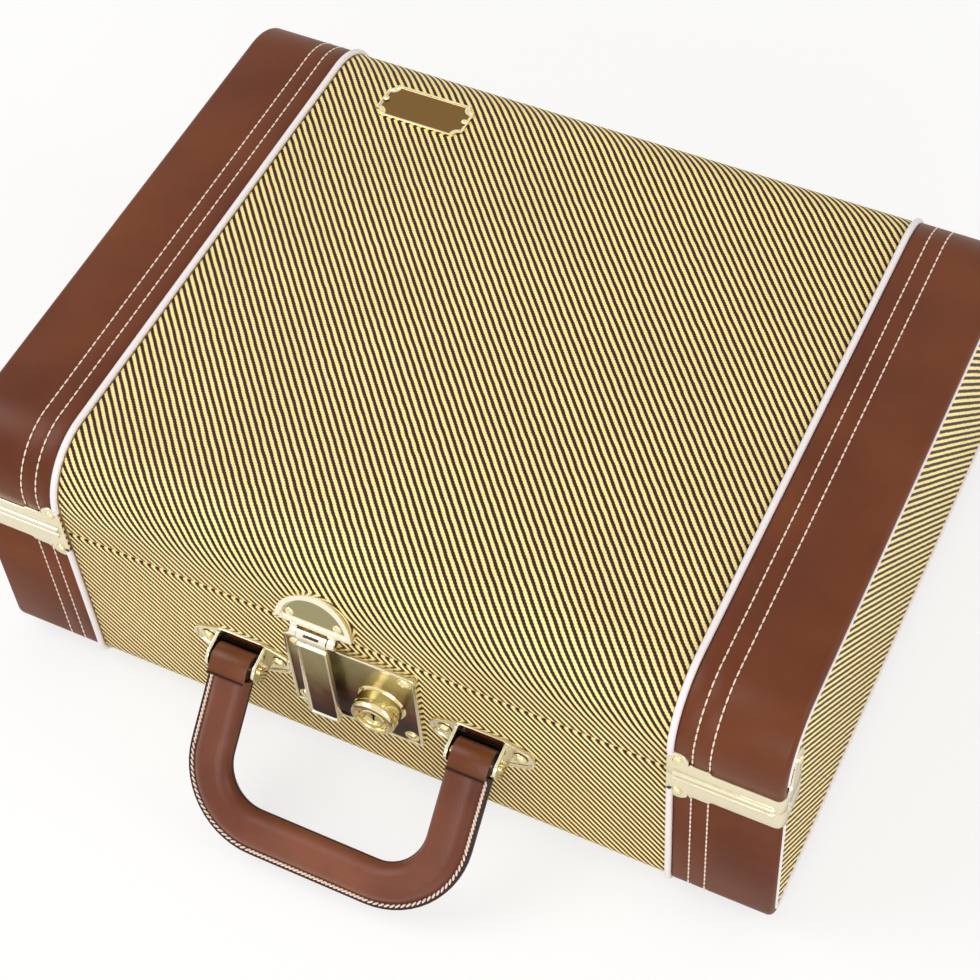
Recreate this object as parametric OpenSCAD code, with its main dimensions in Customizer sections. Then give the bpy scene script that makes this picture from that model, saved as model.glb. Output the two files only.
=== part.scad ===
// Portable tube tester in a carrying case.
// Millimetres, +Z up. The case lies on its feet, its front faces -Y and its hinges are at +Y.
// The origin is on the ground, under the middle of the whole object, its handle included.

/* [Case] */
// Width of the case over its leather bands
case_w = 440; // [400:5:520]
// Depth of the case from front to back
case_d = 338; // [320:2:380]
// Height of the closed case above its feet
case_h = 168; // [160:1:200]
// Height of the lid seam above the feet
seam_h = 116; // [112:1:122]
// Radius of the lid's long edges
top_r = 34; // [20:1:36]
// Radius of the base's long edges
bottom_r = 14; // [12:1:20]
// Thickness of the plywood walls
wall_t = 8; // [6:0.5:9]
// Gap between the lid and the base
seam_gap = 0.4; // [0.3:0.1:0.8]

/* [Covering] */
// Width of each leather band
band_w = 55; // [50:1:62]
// Thickness of the leather
leather_t = 1.6; // [1.2:0.1:2.4]
// Thickness of the tweed cloth with its backing
tweed_t = 1; // [0.6:0.1:1.2]
// Diameter of the piping beside the bands
piping_d = 3.6; // [3:0.1:4.4]
// Diameter of the thin piping round the end panels
end_piping_d = 2.4; // [2:0.1:3]
// Width of the leather that folds onto the ends
fold_w = 4; // [3:0.5:6]

/* [Feet] */
// Height of a rubber foot
foot_h = 6; // [4:0.5:10]
// Radius of a rubber foot
foot_r = 9; // [7:0.5:12]
// Distance of a foot's centre from the sides of the case
foot_inset = 30; // [26:1:45]

/* [Corner guards] */
// Thickness of the brass sheet
guard_t = 1.2; // [0.8:0.1:1.6]
// Height of the lid's guard strip
guard_lid_h = 11; // [9:0.5:13]
// Height of the base's guard strip
guard_base_h = 13; // [10:0.5:16]
// Radius of a guard's ear
ear_r = 5.5; // [4.5:0.25:6.5]
// Distance of an ear's rivet from the seam
ear_rise = 14; // [12:0.5:15]
// Length of a guard round the end of the case
guard_wrap = 20; // [16:1:28]
// Radius of the bead along the seam
bead_r = 1.8; // [1.2:0.1:2.4]

/* [Hinges] */
// Gap between a hinge and the corner guard beside it
hinge_gap = 16.5; // [8:0.5:40]
// Length of a hinge
hinge_len = 54; // [45:3:66]
// Height of a hinge leaf
hinge_leaf_h = 15; // [13:0.5:16]
// Radius of the hinge barrel
hinge_r = 3; // [2.6:0.1:3.2]
// Radius of the hinge pin
hinge_pin_r = 1.5; // [1.2:0.1:1.8]

/* [Handle] */
// Distance between the two bracket centres
handle_span = 134; // [134:2:150]
// Reach of the handle from its pins to the outside of the grip
handle_reach = 92; // [84:1:97]
// Width of the leather grip in the plane of the handle
grip_w = 24; // [20:1:26]
// Thickness of the leather grip
grip_t = 15; // [12:1:16]
// Width of the sewn welt round the outside of the grip
welt_w = 4; // [3:0.5:5]
// Thickness of the welt
welt_t = 3.4; // [2.6:0.2:4.4]
// Radius of the grip's centre line at its corners
grip_bend = 34; // [30:1:40]
// Angle at which the hanging handle rests, below level
handle_droop = 46; // [40:1:50]
// Distance of the brackets below the seam
bracket_drop = 44; // [38:1:47]
// Length of a bracket plate
bracket_len = 58; // [54:1:58]
// Radius of a handle pin
handle_pin_r = 2; // [1.8:0.1:2.4]
// Distance of the handle pins from the cloth
handle_pin_out = 10.5; // [10:0.25:12]

/* [Lock] */
// Width of the lock plate
lock_w = 72; // [66:1:72]
// Height of the lock plate
lock_h = 62; // [56:1:66]
// Distance of the lock plate's top below the seam
lock_drop = 6; // [5:0.5:9]
// Thickness of the lock plate
lock_t = 3.2; // [2.6:0.1:4]
// Radius of the lock's round boss
boss_r = 12; // [11:0.5:13]
// Distance that the boss stands out of the plate
boss_out = 11; // [8:0.5:14]
// Distance of the boss from the middle of the case
boss_x = 14; // [12:0.5:16]
// Radius of the key plug
plug_r = 5; // [4:0.25:6]

/* [Hasp] */
// Radius of the round hasp plate on the lid
hasp_r = 21; // [19:0.5:23]
// Distance of the hasp from the middle of the case
hasp_x = 18; // [17:0.5:20]
// Width of the hasp's strap
strap_w = 18; // [15:0.5:20]
// Length of the hasp below its pin
strap_len = 70; // [62:1:74]
// Thickness of the strap
strap_t = 1.6; // [1.2:0.1:2]
// Lean of the hasp plate against the lid's edge
hasp_lean = 14; // [12:1:18]

/* [Nameplate] */
// Length of the nameplate
name_len = 52; // [44:1:60]
// Depth of the nameplate
name_dep = 24; // [18:1:26]
// Thickness of the nameplate
name_t = 1.6; // [1.2:0.1:2.2]
// Distance of the nameplate's middle from the left piping
name_side = 61; // [50:1:80]
// Distance of the nameplate's middle from the back of the case
name_back = 46; // [45:1:70]

/* [Control panel] */
// Thickness of the aluminium panel
panel_t = 2; // [1.5:0.1:3]
// Distance of the panel below the seam
panel_drop = 10; // [8:0.5:14]
// Gap between the panel and the walls
panel_gap = 0.8; // [0.4:0.1:1.2]
// Side of the square cleats under the panel
cleat = 12; // [10:1:16]

/* [Meter] */
// Width of the meter
meter_w = 110; // [96:1:120]
// Depth of the meter on the panel
meter_d = 90; // [80:1:96]
// Height of the meter above the panel
meter_h = 12; // [10:0.5:16]
// Radius of the meter's barrel under the panel
meter_barrel_r = 32; // [28:1:35]

/* [Controls] */
// Radius of a knob's skirt
knob_r = 15; // [12:0.5:17]
// Height of a knob
knob_h = 16; // [12:0.5:20]
// Radius of a switch shaft
shaft_r = 3; // [2.5:0.1:3.4]
// Distance between neighbouring knobs
knob_pitch = 52; // [46:1:56]
// Radius of the test button
button_r = 6; // [5:0.25:7]
// Travel of the test button
button_travel = 3; // [2:0.25:3.5]

/* [Roll chart] */
// Length of the chart window
chart_len = 150; // [130:2:160]
// Depth of the chart window
chart_dep = 34; // [28:1:38]
// Radius of a chart roller
roller_r = 7; // [6:0.5:8]
// Radius of the chart's thumbwheel
thumb_r = 15; // [13:0.5:16]

/* [Hidden] */
$fn = 64;

// Running clearance of pins and shafts, clearance of fasteners, and the overlap of cutting tools
run_gap = 0.05;
fit_gap = 0.1;
eps = 0.5;
big = 900;

// Levels and outlines of the case
seam_z = foot_h + seam_h;
top_z = foot_h + case_h;
front_y = -case_d / 2;
end_x = case_w / 2;
cloth_sink = leather_t - tweed_t;
cloth_y = front_y + cloth_sink;
inner_x = end_x - leather_t - wall_t;
inner_y = case_d / 2 - leather_t - wall_t;
floor_z = foot_h + leather_t + wall_t;
piping_x = end_x - band_w;
piping_r = piping_d / 2;
end_piping_r = end_piping_d / 2;

// Turns an outline drawn in depth and height so that it runs along X
module along_x(x0, len) {
    translate([x0, 0, 0]) rotate([90, 0, 90]) linear_extrude(len) children();
}

// Turns an outline drawn in width and height into a plate whose back lies at y
module on_front(y, t) {
    translate([0, y, 0]) rotate([90, 0, 0]) linear_extrude(t) children();
}

// The case's outline in depth and height, drawn in by inset
module outline(inset) {
    half = case_d / 2 - inset;
    rt = max(top_r - inset, 1);
    rb = max(bottom_r - inset, 1);
    low = foot_h + inset;
    high = top_z - inset;
    for (s = [-1, 1]) {
        translate([s * (half - rt), high - rt]) circle(r = rt);
        translate([s * (half - rb), low + rb]) circle(r = rb);
    }
    translate([-(half - rt), low + rb]) square([2 * (half - rt), high - low - rb]);
    translate([-half, low + rb]) square([2 * half, high - low - rb - rt]);
    translate([-(half - rb), low]) square([2 * (half - rb), high - low - rt]);
}

module above_seam() {
    intersection() {
        children();
        translate([-big / 2, -big / 2, seam_z + seam_gap / 2]) cube([big, big, big]);
    }
}

module below_seam() {
    intersection() {
        children();
        translate([-big / 2, -big / 2, seam_z - seam_gap / 2 - big]) cube([big, big, big]);
    }
}

// A layer between two outlines, from x0 along X
module layer(outer, inner, x0, len) {
    difference() {
        along_x(x0, len) outline(outer);
        along_x(x0 - eps, len + 2 * eps) outline(inner);
    }
}

// A round cord that follows the case's outline
module cord_loop(x, r, inset) {
    half = case_d / 2 - inset;
    rt = top_r - inset;
    rb = bottom_r - inset;
    low = foot_h + inset;
    high = top_z - inset;
    for (s = [-1, 1]) {
        translate([x, s * half, low + rb]) cylinder(h = high - rt - low - rb, r = r);
    }
    translate([x, -(half - rt), high]) rotate([-90, 0, 0]) cylinder(h = 2 * (half - rt), r = r);
    translate([x, -(half - rb), low]) rotate([-90, 0, 0]) cylinder(h = 2 * (half - rb), r = r);
    for (s = [0, 1]) mirror([0, s, 0]) {
        translate([x, half - rt, high - rt]) rotate([90, 0, 90])
            rotate_extrude(angle = 90) translate([rt, 0]) circle(r = r);
        translate([x, half - rb, low + rb]) rotate([90, 0, 90])
            rotate_extrude(angle = -90) translate([rb, 0]) circle(r = r);
    }
}

// Copies for both ends, and for all four upright corners
module both_ends() {
    for (s = [0, 1]) mirror([s, 0, 0]) children();
}

module four_corners() {
    for (m = [0, 1], n = [0, 1]) mirror([m, 0, 0]) mirror([0, n, 0]) children();
}

// Fasteners: a slotted screw and a domed rivet, both with the head's underside at the
// origin, the shank along +Z
screw_head_r = 3.2;
screw_head_h = 1.4;
screw_shank_r = 1.4;
screw_len = 7;
rivet_head_r = 2.7;
rivet_head_h = 1.3;
rivet_shank_r = 1.1;
rivet_len = 6;
rivet_ball_r = (rivet_head_r * rivet_head_r + rivet_head_h * rivet_head_h) / (2 * rivet_head_h);

module screw() {
    difference() {
        union() {
            translate([0, 0, -screw_head_h]) cylinder(h = screw_head_h, r1 = screw_head_r - 0.7,
                                                      r2 = screw_head_r, $fn = 48);
            cylinder(h = screw_len, r = screw_shank_r);
        }
        translate([-screw_head_r, -0.4, -screw_head_h - eps])
            cube([2 * screw_head_r, 0.8, 0.6 + eps]);
    }
}

module rivet() {
    intersection() {
        translate([0, 0, rivet_ball_r - rivet_head_h]) sphere(r = rivet_ball_r);
        translate([0, 0, -rivet_head_h]) cylinder(h = rivet_head_h, r = rivet_head_r);
    }
    cylinder(h = rivet_len, r = rivet_shank_r);
}

// Points of the fasteners, each [x, z] on a front or back face
bracket_z = seam_z - bracket_drop;
bracket_screw = bracket_len / 2 - 8.5;
bracket_end_r = 8;
lock_z = seam_z - lock_drop - lock_h / 2;
lock_x = -2;
lock_edge = 6;
lock_corner = 3;
hinge_screws = [for (i = [-1, 0, 1]) i * hinge_len / 3];
hinge_screw_z = hinge_leaf_h - 4.5;
lock_points = [for (sx = [-1, 1], sz = [-1, 1])
    [lock_x + sx * (lock_w / 2 - lock_edge), lock_z + sz * (lock_h / 2 - lock_edge)]];
bracket_points = [for (sx = [-1, 1], si = [-1, 1])
    [sx * handle_span / 2 + si * bracket_screw, bracket_z]];
ear_x = piping_x + 4;
hinge_x = ear_x - ear_r - hinge_gap - hinge_len / 2;
base_ear_z = seam_z - seam_gap / 2 - ear_rise;
lid_ear_z = seam_z + seam_gap / 2 + ear_rise;
leg_ear_z = 27;
leg_y = 15;

module at_front(points, y) {
    for (p = points) translate([p[0], y, p[1]]) rotate([-90, 0, 0]) children();
}

module at_back(points, y) {
    for (p = points) translate([p[0], y, p[1]]) rotate([90, 0, 0]) children();
}

base_hinge_points = [for (s = [-1, 1], h = hinge_screws) [s * hinge_x + h, seam_z - hinge_screw_z]];
lid_hinge_points = [for (s = [-1, 1], h = hinge_screws) [s * hinge_x + h, seam_z + hinge_screw_z]];

// Shank holes through the base's and the lid's front, back and ends
module shank_holes(points, back_points, ear_z) {
    hole = screw_shank_r + fit_gap;
    at_front(points, front_y - lock_t) cylinder(h = screw_len + lock_t + 1, r = hole);
    at_back(back_points, case_d / 2 + 2) cylinder(h = screw_len + 3, r = hole);
    four_corners() translate([ear_x, front_y - 3, ear_z]) rotate([-90, 0, 0])
        cylinder(h = rivet_len + 4, r = rivet_shank_r + fit_gap);
}

module base_holes() {
    shank_holes(concat(lock_points, bracket_points), base_hinge_points, base_ear_z);
    translate([boss_x, cloth_y - lock_t - eps, lock_z]) rotate([-90, 0, 0])
        cylinder(h = wall_t + lock_t + 4, r = boss_r - 2 + fit_gap);
}

module lid_holes() {
    shank_holes([], lid_hinge_points, lid_ear_z);
    both_ends() four_leg_rivets() cylinder(h = rivet_len + 4, r = rivet_shank_r + fit_gap);
}

// The rivets that hold the upright legs of the lid's guards on the ends
module four_leg_rivets() {
    for (n = [0, 1]) mirror([0, n, 0])
        translate([end_x + 3, front_y + leg_y, seam_z + leg_ear_z]) rotate([0, -90, 0]) children();
}

// ---- Base ----

module base_shell() {
    color("burlywood") difference() {
        below_seam() along_x(leather_t - end_x, case_w - 2 * leather_t) outline(leather_t);
        along_x(-inner_x, 2 * inner_x) outline(leather_t + wall_t);
        base_holes();
        foot_places() translate([0, 0, foot_h - 1]) cylinder(h = 10, r = rivet_shank_r + fit_gap);
    }
}

module base_tweed_cover() {
    color("tan") difference() {
        below_seam() layer(cloth_sink, leather_t, piping_r - piping_x, 2 * (piping_x - piping_r));
        base_holes();
    }
}

// A leather band with its fold onto the end of the case
module leather_band() {
    layer(0, leather_t, piping_x + piping_r, band_w - piping_r);
    layer(0, fold_w, end_x - leather_t, leather_t);
}

module base_leather_bands() {
    color("sienna") difference() {
        below_seam() both_ends() leather_band();
        base_holes();
        foot_places() translate([0, 0, foot_h - 1]) cylinder(h = 10, r = rivet_shank_r + fit_gap);
    }
}

// The cloth panel inside the thin piping on an end
module end_panel() {
    along_x(end_x - leather_t, tweed_t) outline(fold_w + end_piping_d);
}

module base_end_panels() {
    color("tan") below_seam() both_ends() end_panel();
}

// Both cords on one end of the case, without the places that the guards cover
module end_cords(low, high) {
    difference() {
        cord_loop(piping_x, piping_r, leather_t - piping_r);
        for (s = [-1, 1]) translate([piping_x - 10, s * case_d / 2 - 10, seam_z - low])
            cube([20, 20, low + high]);
    }
    difference() {
        cord_loop(end_x - leather_t + end_piping_r, end_piping_r, fold_w + end_piping_r);
        for (s = [-1, 1])
            translate([end_x - 10, s * (case_d / 2 - guard_wrap / 2 + 1) - guard_wrap / 2 - 1,
                       seam_z - guard_base_h - 1])
                cube([20, guard_wrap + 2, guard_base_h + 2 + high]);
    }
}

base_ear_low = ear_rise + ear_r + 0.5;

module base_piping() {
    color("ghostwhite") below_seam() both_ends() end_cords(base_ear_low, 1);
}

// A corner guard's front leaf in width and height above the seam, its ear at the piping
module guard_leaf(strip_h) {
    difference() {
        union() {
            translate([ear_x - ear_r, 0]) square([end_x + guard_t - ear_x + ear_r, strip_h]);
            translate([ear_x - ear_r, 0]) square([2 * ear_r, ear_rise]);
            translate([ear_x - ear_r, 0]) square([4.2 * ear_r, strip_h + 2]);
            translate([ear_x, ear_rise]) circle(r = ear_r);
        }
        translate([ear_x, ear_rise]) circle(r = rivet_shank_r + fit_gap);
    }
}

module base_corner_guards() {
    color("goldenrod") four_corners() {
        difference() {
            translate([0, 0, seam_z - seam_gap / 2]) mirror([0, 0, 1]) {
                on_front(front_y, guard_t) guard_leaf(guard_base_h);
                translate([end_x, front_y - guard_t, 0])
                    cube([guard_t, guard_wrap + guard_t, guard_base_h]);
            }
            translate([end_x - 6, front_y - guard_t - eps, seam_z - 6]) rotate([-90, 0, 0])
                cylinder(h = guard_t + 2 * eps, r = 1);
        }
        translate([ear_x, front_y - guard_t, seam_z - seam_gap / 2 - bead_r]) rotate([0, 90, 0])
            cylinder(h = end_x - ear_x - 10, r = bead_r * 0.6);
    }
}

module base_rivets() {
    color("gold") four_corners() translate([ear_x, front_y - guard_t, base_ear_z])
        rotate([-90, 0, 0]) rivet();
}

module foot_places() {
    for (sx = [-1, 1], sy = [-1, 1])
        translate([sx * (end_x - foot_inset), sy * (case_d / 2 - foot_inset), 0]) children();
}

foot_dimple = 2;
foot_dimple_r = 3.6;

module rubber_feet() {
    color("dimgray") foot_places() {
        difference() {
            cylinder(h = foot_h, r1 = foot_r - 1.2, r2 = foot_r);
            translate([0, 0, -eps]) cylinder(h = foot_dimple + eps, r = foot_dimple_r);
        }
        cylinder(h = foot_h + 5, r = rivet_shank_r);
    }
}

// ---- Hinges ----

hinge_y = case_d / 2 + hinge_r + 0.4;
hinge_t = 1.2;
knuckle = hinge_len / 3;
knuckle_gap = 0.3;

// A hinge leaf that points up from the pin, with its knuckles at the given places
module hinge_leaf(places) {
    difference() {
        union() {
            translate([-hinge_len / 2, case_d / 2, hinge_r + 0.6])
                cube([hinge_len, hinge_t, hinge_leaf_h - hinge_r - 0.6]);
            for (p = places) translate([p * knuckle - knuckle / 2 + knuckle_gap / 2, 0, 0]) {
                translate([0, hinge_y, 0]) rotate([0, 90, 0])
                    cylinder(h = knuckle - knuckle_gap, r = hinge_r);
                translate([0, case_d / 2, 0.4])
                    cube([knuckle - knuckle_gap, hinge_t, hinge_r + 0.6]);
                translate([0, case_d / 2, 0.4])
                    cube([knuckle - knuckle_gap, hinge_y - case_d / 2, hinge_t]);
            }
        }
        translate([-hinge_len, hinge_y, 0]) rotate([0, 90, 0])
            cylinder(h = 2 * hinge_len, r = hinge_pin_r + run_gap);
        for (h = hinge_screws) translate([h, case_d / 2 - eps, hinge_screw_z]) rotate([-90, 0, 0])
            cylinder(h = hinge_t + 2 * eps, r = screw_shank_r + fit_gap);
    }
}

module hinge_lid_leaves() {
    color("goldenrod") for (s = [-1, 1]) translate([s * hinge_x, 0, seam_z]) hinge_leaf([0]);
}

module hinge_base_leaves() {
    color("goldenrod") for (s = [-1, 1]) translate([s * hinge_x, 0, seam_z]) mirror([0, 0, 1])
        hinge_leaf([-1, 1]);
}

module hinge_pins() {
    color("gold") for (s = [-1, 1]) translate([s * hinge_x - hinge_len / 2 - 0.6, hinge_y, seam_z])
        rotate([0, 90, 0]) cylinder(h = hinge_len + 1.2, r = hinge_pin_r);
}

// ---- Front hardware ----

module base_screws() {
    color("gold") {
        at_front(lock_points, cloth_y - lock_t) screw();
        at_front(bracket_points, cloth_y - bracket_t) screw();
        at_back(base_hinge_points, case_d / 2 + hinge_t) screw();
    }
}

bracket_t = 1.5;
bracket_hump = 12;
cheek_t = 2.4;
cheek_gap = grip_w + 0.8;
cheek_r = 6;
shoe_low = -10;
handle_axis_y = cloth_y - handle_pin_out;

// One handle bracket at the origin of its pin: plate, two cheeks and the stop under the handle
module bracket() {
    back = handle_pin_out;
    difference() {
        union() {
            translate([0, back, 0]) rotate([90, 0, 0]) linear_extrude(bracket_t) {
                for (s = [-1, 1]) translate([s * bracket_screw, 0]) circle(r = bracket_end_r);
                square([2 * bracket_screw, 2 * bracket_end_r], center = true);
                square([cheek_gap + 2 * cheek_t, 2 * bracket_hump], center = true);
            }
            for (s = [-1, 1]) translate([s * (cheek_gap + cheek_t) / 2 - cheek_t / 2, 0, 0]) {
                rotate([0, 90, 0]) cylinder(h = cheek_t, r = cheek_r);
                translate([0, 0, -cheek_r]) cube([cheek_t, back, 2 * cheek_r]);
            }
            stop_shoe();
        }
        translate([-bracket_len, 0, 0]) rotate([0, 90, 0])
            cylinder(h = 2 * bracket_len, r = handle_pin_r + run_gap);
        for (s = [-1, 1]) translate([s * bracket_screw, back - bracket_t - eps, 0])
            rotate([-90, 0, 0]) cylinder(h = bracket_t + 2 * eps, r = screw_shank_r + fit_gap);
    }
}

// The sloping face that the hanging handle rests on
module stop_shoe() {
    reach = grip_t / 2 + 0.4;
    back = handle_pin_out - bracket_t + 0.2;
    high = (back * sin(handle_droop) - reach) / cos(handle_droop);
    low_y = (reach + shoe_low * cos(handle_droop)) / sin(handle_droop);
    translate([-cheek_gap / 2 - 0.2, 0, 0]) rotate([90, 0, 90]) linear_extrude(cheek_gap + 0.4)
        polygon([[back, high], [back, shoe_low], [low_y, shoe_low]]);
}

module handle_brackets() {
    color("goldenrod") for (s = [-1, 1])
        translate([s * handle_span / 2, handle_axis_y, bracket_z]) bracket();
}

module handle_pins() {
    len = cheek_gap + 2 * cheek_t + 1.2;
    color("gold") for (s = [-1, 1])
        translate([s * handle_span / 2 - len / 2, handle_axis_y, bracket_z]) rotate([0, 90, 0])
            cylinder(h = len, r = handle_pin_r);
}

// The grip's section: a padded band with round edges and a flat sewn welt on its outer side, +X
module grip_section() {
    r = grip_t / 2;
    low = -grip_w / 2 + r;
    high = grip_w / 2 - welt_w - r;
    for (x = [low, high]) translate([x, 0]) circle(r = r);
    translate([low, -r]) square([high - low, grip_t]);
    translate([high, -welt_t / 2]) square([grip_w / 2 - high, welt_t]);
}

// The handle in its own plane: pins on the X axis, reach along -Y
module handle_body() {
    leg = handle_span / 2;
    deep = handle_reach - grip_w / 2;
    difference() {
        union() {
            for (s = [-1, 1]) {
                translate([s * leg, 0, 0]) rotate([90, 0, 0])
                    linear_extrude(deep - grip_bend) mirror([s < 0 ? 1 : 0, 0]) grip_section();
                translate([s * leg - grip_w / 2, 0, 0]) rotate([0, 90, 0])
                    cylinder(h = grip_w, r = grip_t / 2);
                translate([s * (leg - grip_bend), -(deep - grip_bend), 0])
                    rotate([0, 0, s > 0 ? -90 : 180])
                        rotate_extrude(angle = 90) translate([grip_bend, 0]) grip_section();
            }
            translate([-(leg - grip_bend), -deep, 0]) rotate([90, 0, 90])
                linear_extrude(2 * (leg - grip_bend)) mirror([1, 0]) grip_section();
        }
        translate([-case_w / 2, 0, 0]) rotate([0, 90, 0])
            cylinder(h = case_w, r = handle_pin_r + run_gap);
    }
}

module handle_grip() {
    color("saddlebrown") translate([0, handle_axis_y, bracket_z]) rotate([handle_droop, 0, 0])
        handle_body();
}

// The staple on the hasp's back and the groove in the lock plate that takes it, open at the top
staple_w = 9;
staple_h = 9;
staple_t = 3;
staple_z = lock_z - 4;
groove_skin = 0.6;
groove_gap = 0.8;

module staple_groove() {
    low = staple_z - staple_h / 2 - groove_gap;
    translate([-hasp_x - staple_w / 2 - groove_gap, cloth_y - lock_t - eps, low])
        cube([staple_w + 2 * groove_gap, lock_t + eps - groove_skin,
              lock_z + lock_h / 2 + eps - low]);
}

module lock_plate() {
    color("goldenrod") difference() {
        on_front(cloth_y, lock_t) translate([lock_x, lock_z]) {
            for (sx = [-1, 1], sz = [-1, 1])
                translate([sx * (lock_w / 2 - lock_corner), sz * (lock_h / 2 - lock_corner)])
                    circle(r = lock_corner);
            square([lock_w - 2 * lock_corner, lock_h], center = true);
            square([lock_w, lock_h - 2 * lock_corner], center = true);
        }
        base_holes();
        staple_groove();
    }
}

module lock_housing() {
    color("gold") translate([boss_x, cloth_y - lock_t, lock_z]) rotate([90, 0, 0]) difference() {
        union() {
            cylinder(h = boss_out, r = boss_r);
            translate([0, 0, boss_out]) cylinder(h = 1.2, r1 = boss_r, r2 = boss_r - 1.2);
            translate([0, 0, -lock_t - wall_t]) cylinder(h = lock_t + wall_t + eps, r = boss_r - 2);
        }
        translate([0, 0, -lock_t - wall_t - eps])
            cylinder(h = boss_out + lock_t + wall_t + 4, r = plug_r + run_gap);
        translate([0, 0, boss_out]) cylinder(h = 4, r = boss_r - 4);
    }
}

module key_plug() {
    len = boss_out + lock_t + wall_t - 0.5;
    slot_w = 1.2;
    slot_h = 6;
    slot_deep = 6;
    color("khaki") translate([boss_x, cloth_y + wall_t, lock_z]) rotate([90, 0, 0]) difference() {
        cylinder(h = len, r = plug_r);
        translate([-slot_w / 2, -slot_h / 2, len - slot_deep]) cube([slot_w, slot_h, slot_deep + 1]);
        translate([0, 2, len - slot_deep]) cylinder(h = slot_deep + 1, r = 1.3);
    }
}

// ---- Lid ----

module lid_shell() {
    color("burlywood") difference() {
        above_seam() along_x(leather_t - end_x, case_w - 2 * leather_t) outline(leather_t);
        along_x(-inner_x, 2 * inner_x) outline(leather_t + wall_t);
        lid_holes();
        hasp_rivet_places() cylinder(h = rivet_len + 2, r = rivet_shank_r + fit_gap);
        name_pin_places() translate([0, 0, -rivet_len])
            cylinder(h = 2 * rivet_len, r = name_pin_r + fit_gap);
    }
}

module lid_tweed_cover() {
    color("tan") difference() {
        above_seam() layer(cloth_sink, leather_t, piping_r - piping_x, 2 * (piping_x - piping_r));
        hasp_rivet_places() cylinder(h = rivet_len + 2, r = rivet_shank_r + fit_gap);
        name_pin_places() translate([0, 0, -rivet_len])
            cylinder(h = 2 * rivet_len, r = name_pin_r + fit_gap);
        at_back(lid_hinge_points, case_d / 2 + 2)
            cylinder(h = screw_len + 6, r = screw_shank_r + fit_gap);
    }
}

module lid_leather_bands() {
    color("sienna") difference() {
        above_seam() both_ends() leather_band();
        lid_holes();
    }
}

module lid_end_panels() {
    color("tan") difference() {
        above_seam() both_ends() end_panel();
        lid_holes();
    }
}

module lid_piping() {
    color("ghostwhite") above_seam() both_ends() end_cords(1, ear_rise + ear_r + 0.5);
}

module lid_corner_guards() {
    color("goldenrod") four_corners() difference() {
        union() {
            translate([0, 0, seam_z + seam_gap / 2]) on_front(front_y, guard_t)
                guard_leaf(guard_lid_h);
            translate([end_x, front_y - guard_t, seam_z + seam_gap / 2]) {
                cube([guard_t, guard_wrap + guard_t, guard_lid_h]);
                cube([guard_t, guard_t + leg_y + 2, guard_lid_h + 6]);
            }
            translate([end_x, front_y + leg_y, seam_z]) rotate([90, 0, 90])
                linear_extrude(guard_t) {
                    translate([-3, 2]) square([6, leg_ear_z - 2]);
                    translate([0, leg_ear_z]) circle(r = ear_r);
                }
        }
        four_leg_rivets() cylinder(h = rivet_len + 4, r = rivet_shank_r + fit_gap);
    }
}

// The nameplate with its notched corners, and the brass pins in its ends
name_x = name_side - piping_x;
name_y = case_d / 2 - name_back;
name_pin_r = 1;
name_pin_in = 2.2;
name_notch_r = 4;
name_rim = 1.4;
name_field_end = 4.6;
name_field_deep = 0.5;

module name_pin_places() {
    for (s = [-1, 1])
        translate([name_x + s * (name_len / 2 - name_pin_in), name_y, top_z - cloth_sink + name_t])
            children();
}

module name_corners(r) {
    for (sx = [-1, 1], sy = [-1, 1])
        translate([sx * name_len / 2, sy * name_dep / 2]) circle(r = r);
}

module nameplate() {
    color("darkgoldenrod") translate([name_x, name_y, top_z - cloth_sink]) difference() {
        linear_extrude(name_t) difference() {
            square([name_len, name_dep], center = true);
            name_corners(name_notch_r);
            for (s = [-1, 1]) translate([s * (name_len / 2 - name_pin_in), 0])
                circle(r = name_pin_r + fit_gap);
        }
        translate([0, 0, name_t - name_field_deep]) linear_extrude(1) difference() {
            square([name_len - 2 * name_field_end, name_dep - 2 * name_rim], center = true);
            name_corners(name_notch_r + name_rim);
        }
    }
}

module lid_rivets() {
    color("gold") {
        four_corners() translate([ear_x, front_y - guard_t, lid_ear_z])
            rotate([-90, 0, 0]) rivet();
        both_ends() four_leg_rivets() translate([0, 0, 3 - guard_t]) rivet();
        hasp_rivet_places() rivet();
        name_pin_places() {
            translate([0, 0, -name_t - 3]) cylinder(h = name_t + 3, r = name_pin_r);
            cylinder(h = 0.8, r1 = 1.8, r2 = 1.2);
        }
    }
}

module lid_screws() {
    color("gold") at_back(lid_hinge_points, case_d / 2 + hinge_t) screw();
}

// The hasp plate leans on the lid's rounded edge: its face is a half disc, its back follows the
// cloth, and its lower edge carries the pin
hasp_axis_z = seam_z + 5;
lean_y = cloth_y + (top_r - cloth_sink) * (1 - cos(hasp_lean));
lean_z = top_z - top_r + (top_r - cloth_sink) * sin(hasp_lean);
hasp_plate_t = 2.2;
hasp_low = (lean_z - hasp_axis_z - 3) / cos(hasp_lean);
hasp_axis_y = lean_y - (lean_z - hasp_axis_z) * tan(hasp_lean) - hasp_plate_t;
hasp_pin_r = 1.2;
hasp_knuckle_r = 2.6;
hasp_mid = strap_w - 2;
hasp_side = 4;
hasp_rivet_out = 13;
hasp_rivet_up = 8;
hasp_rim_w = 2.4;
hasp_rim_t = 1.2;

// Moves to the point where the plate touches the lid, with +Y up the plate and +Z outwards
module on_lean() {
    translate([-hasp_x, lean_y, lean_z]) rotate([90 - hasp_lean, 0, 0]) children();
}

module hasp_rivet_places() {
    for (s = [-1, 1]) on_lean()
        translate([s * hasp_rivet_out, hasp_rivet_up - hasp_low, hasp_plate_t])
        rotate([180, 0, 0]) children();
}

module half_disc(r) {
    intersection() {
        circle(r = r);
        translate([-r, 0]) square([2 * r, r]);
    }
}

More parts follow.
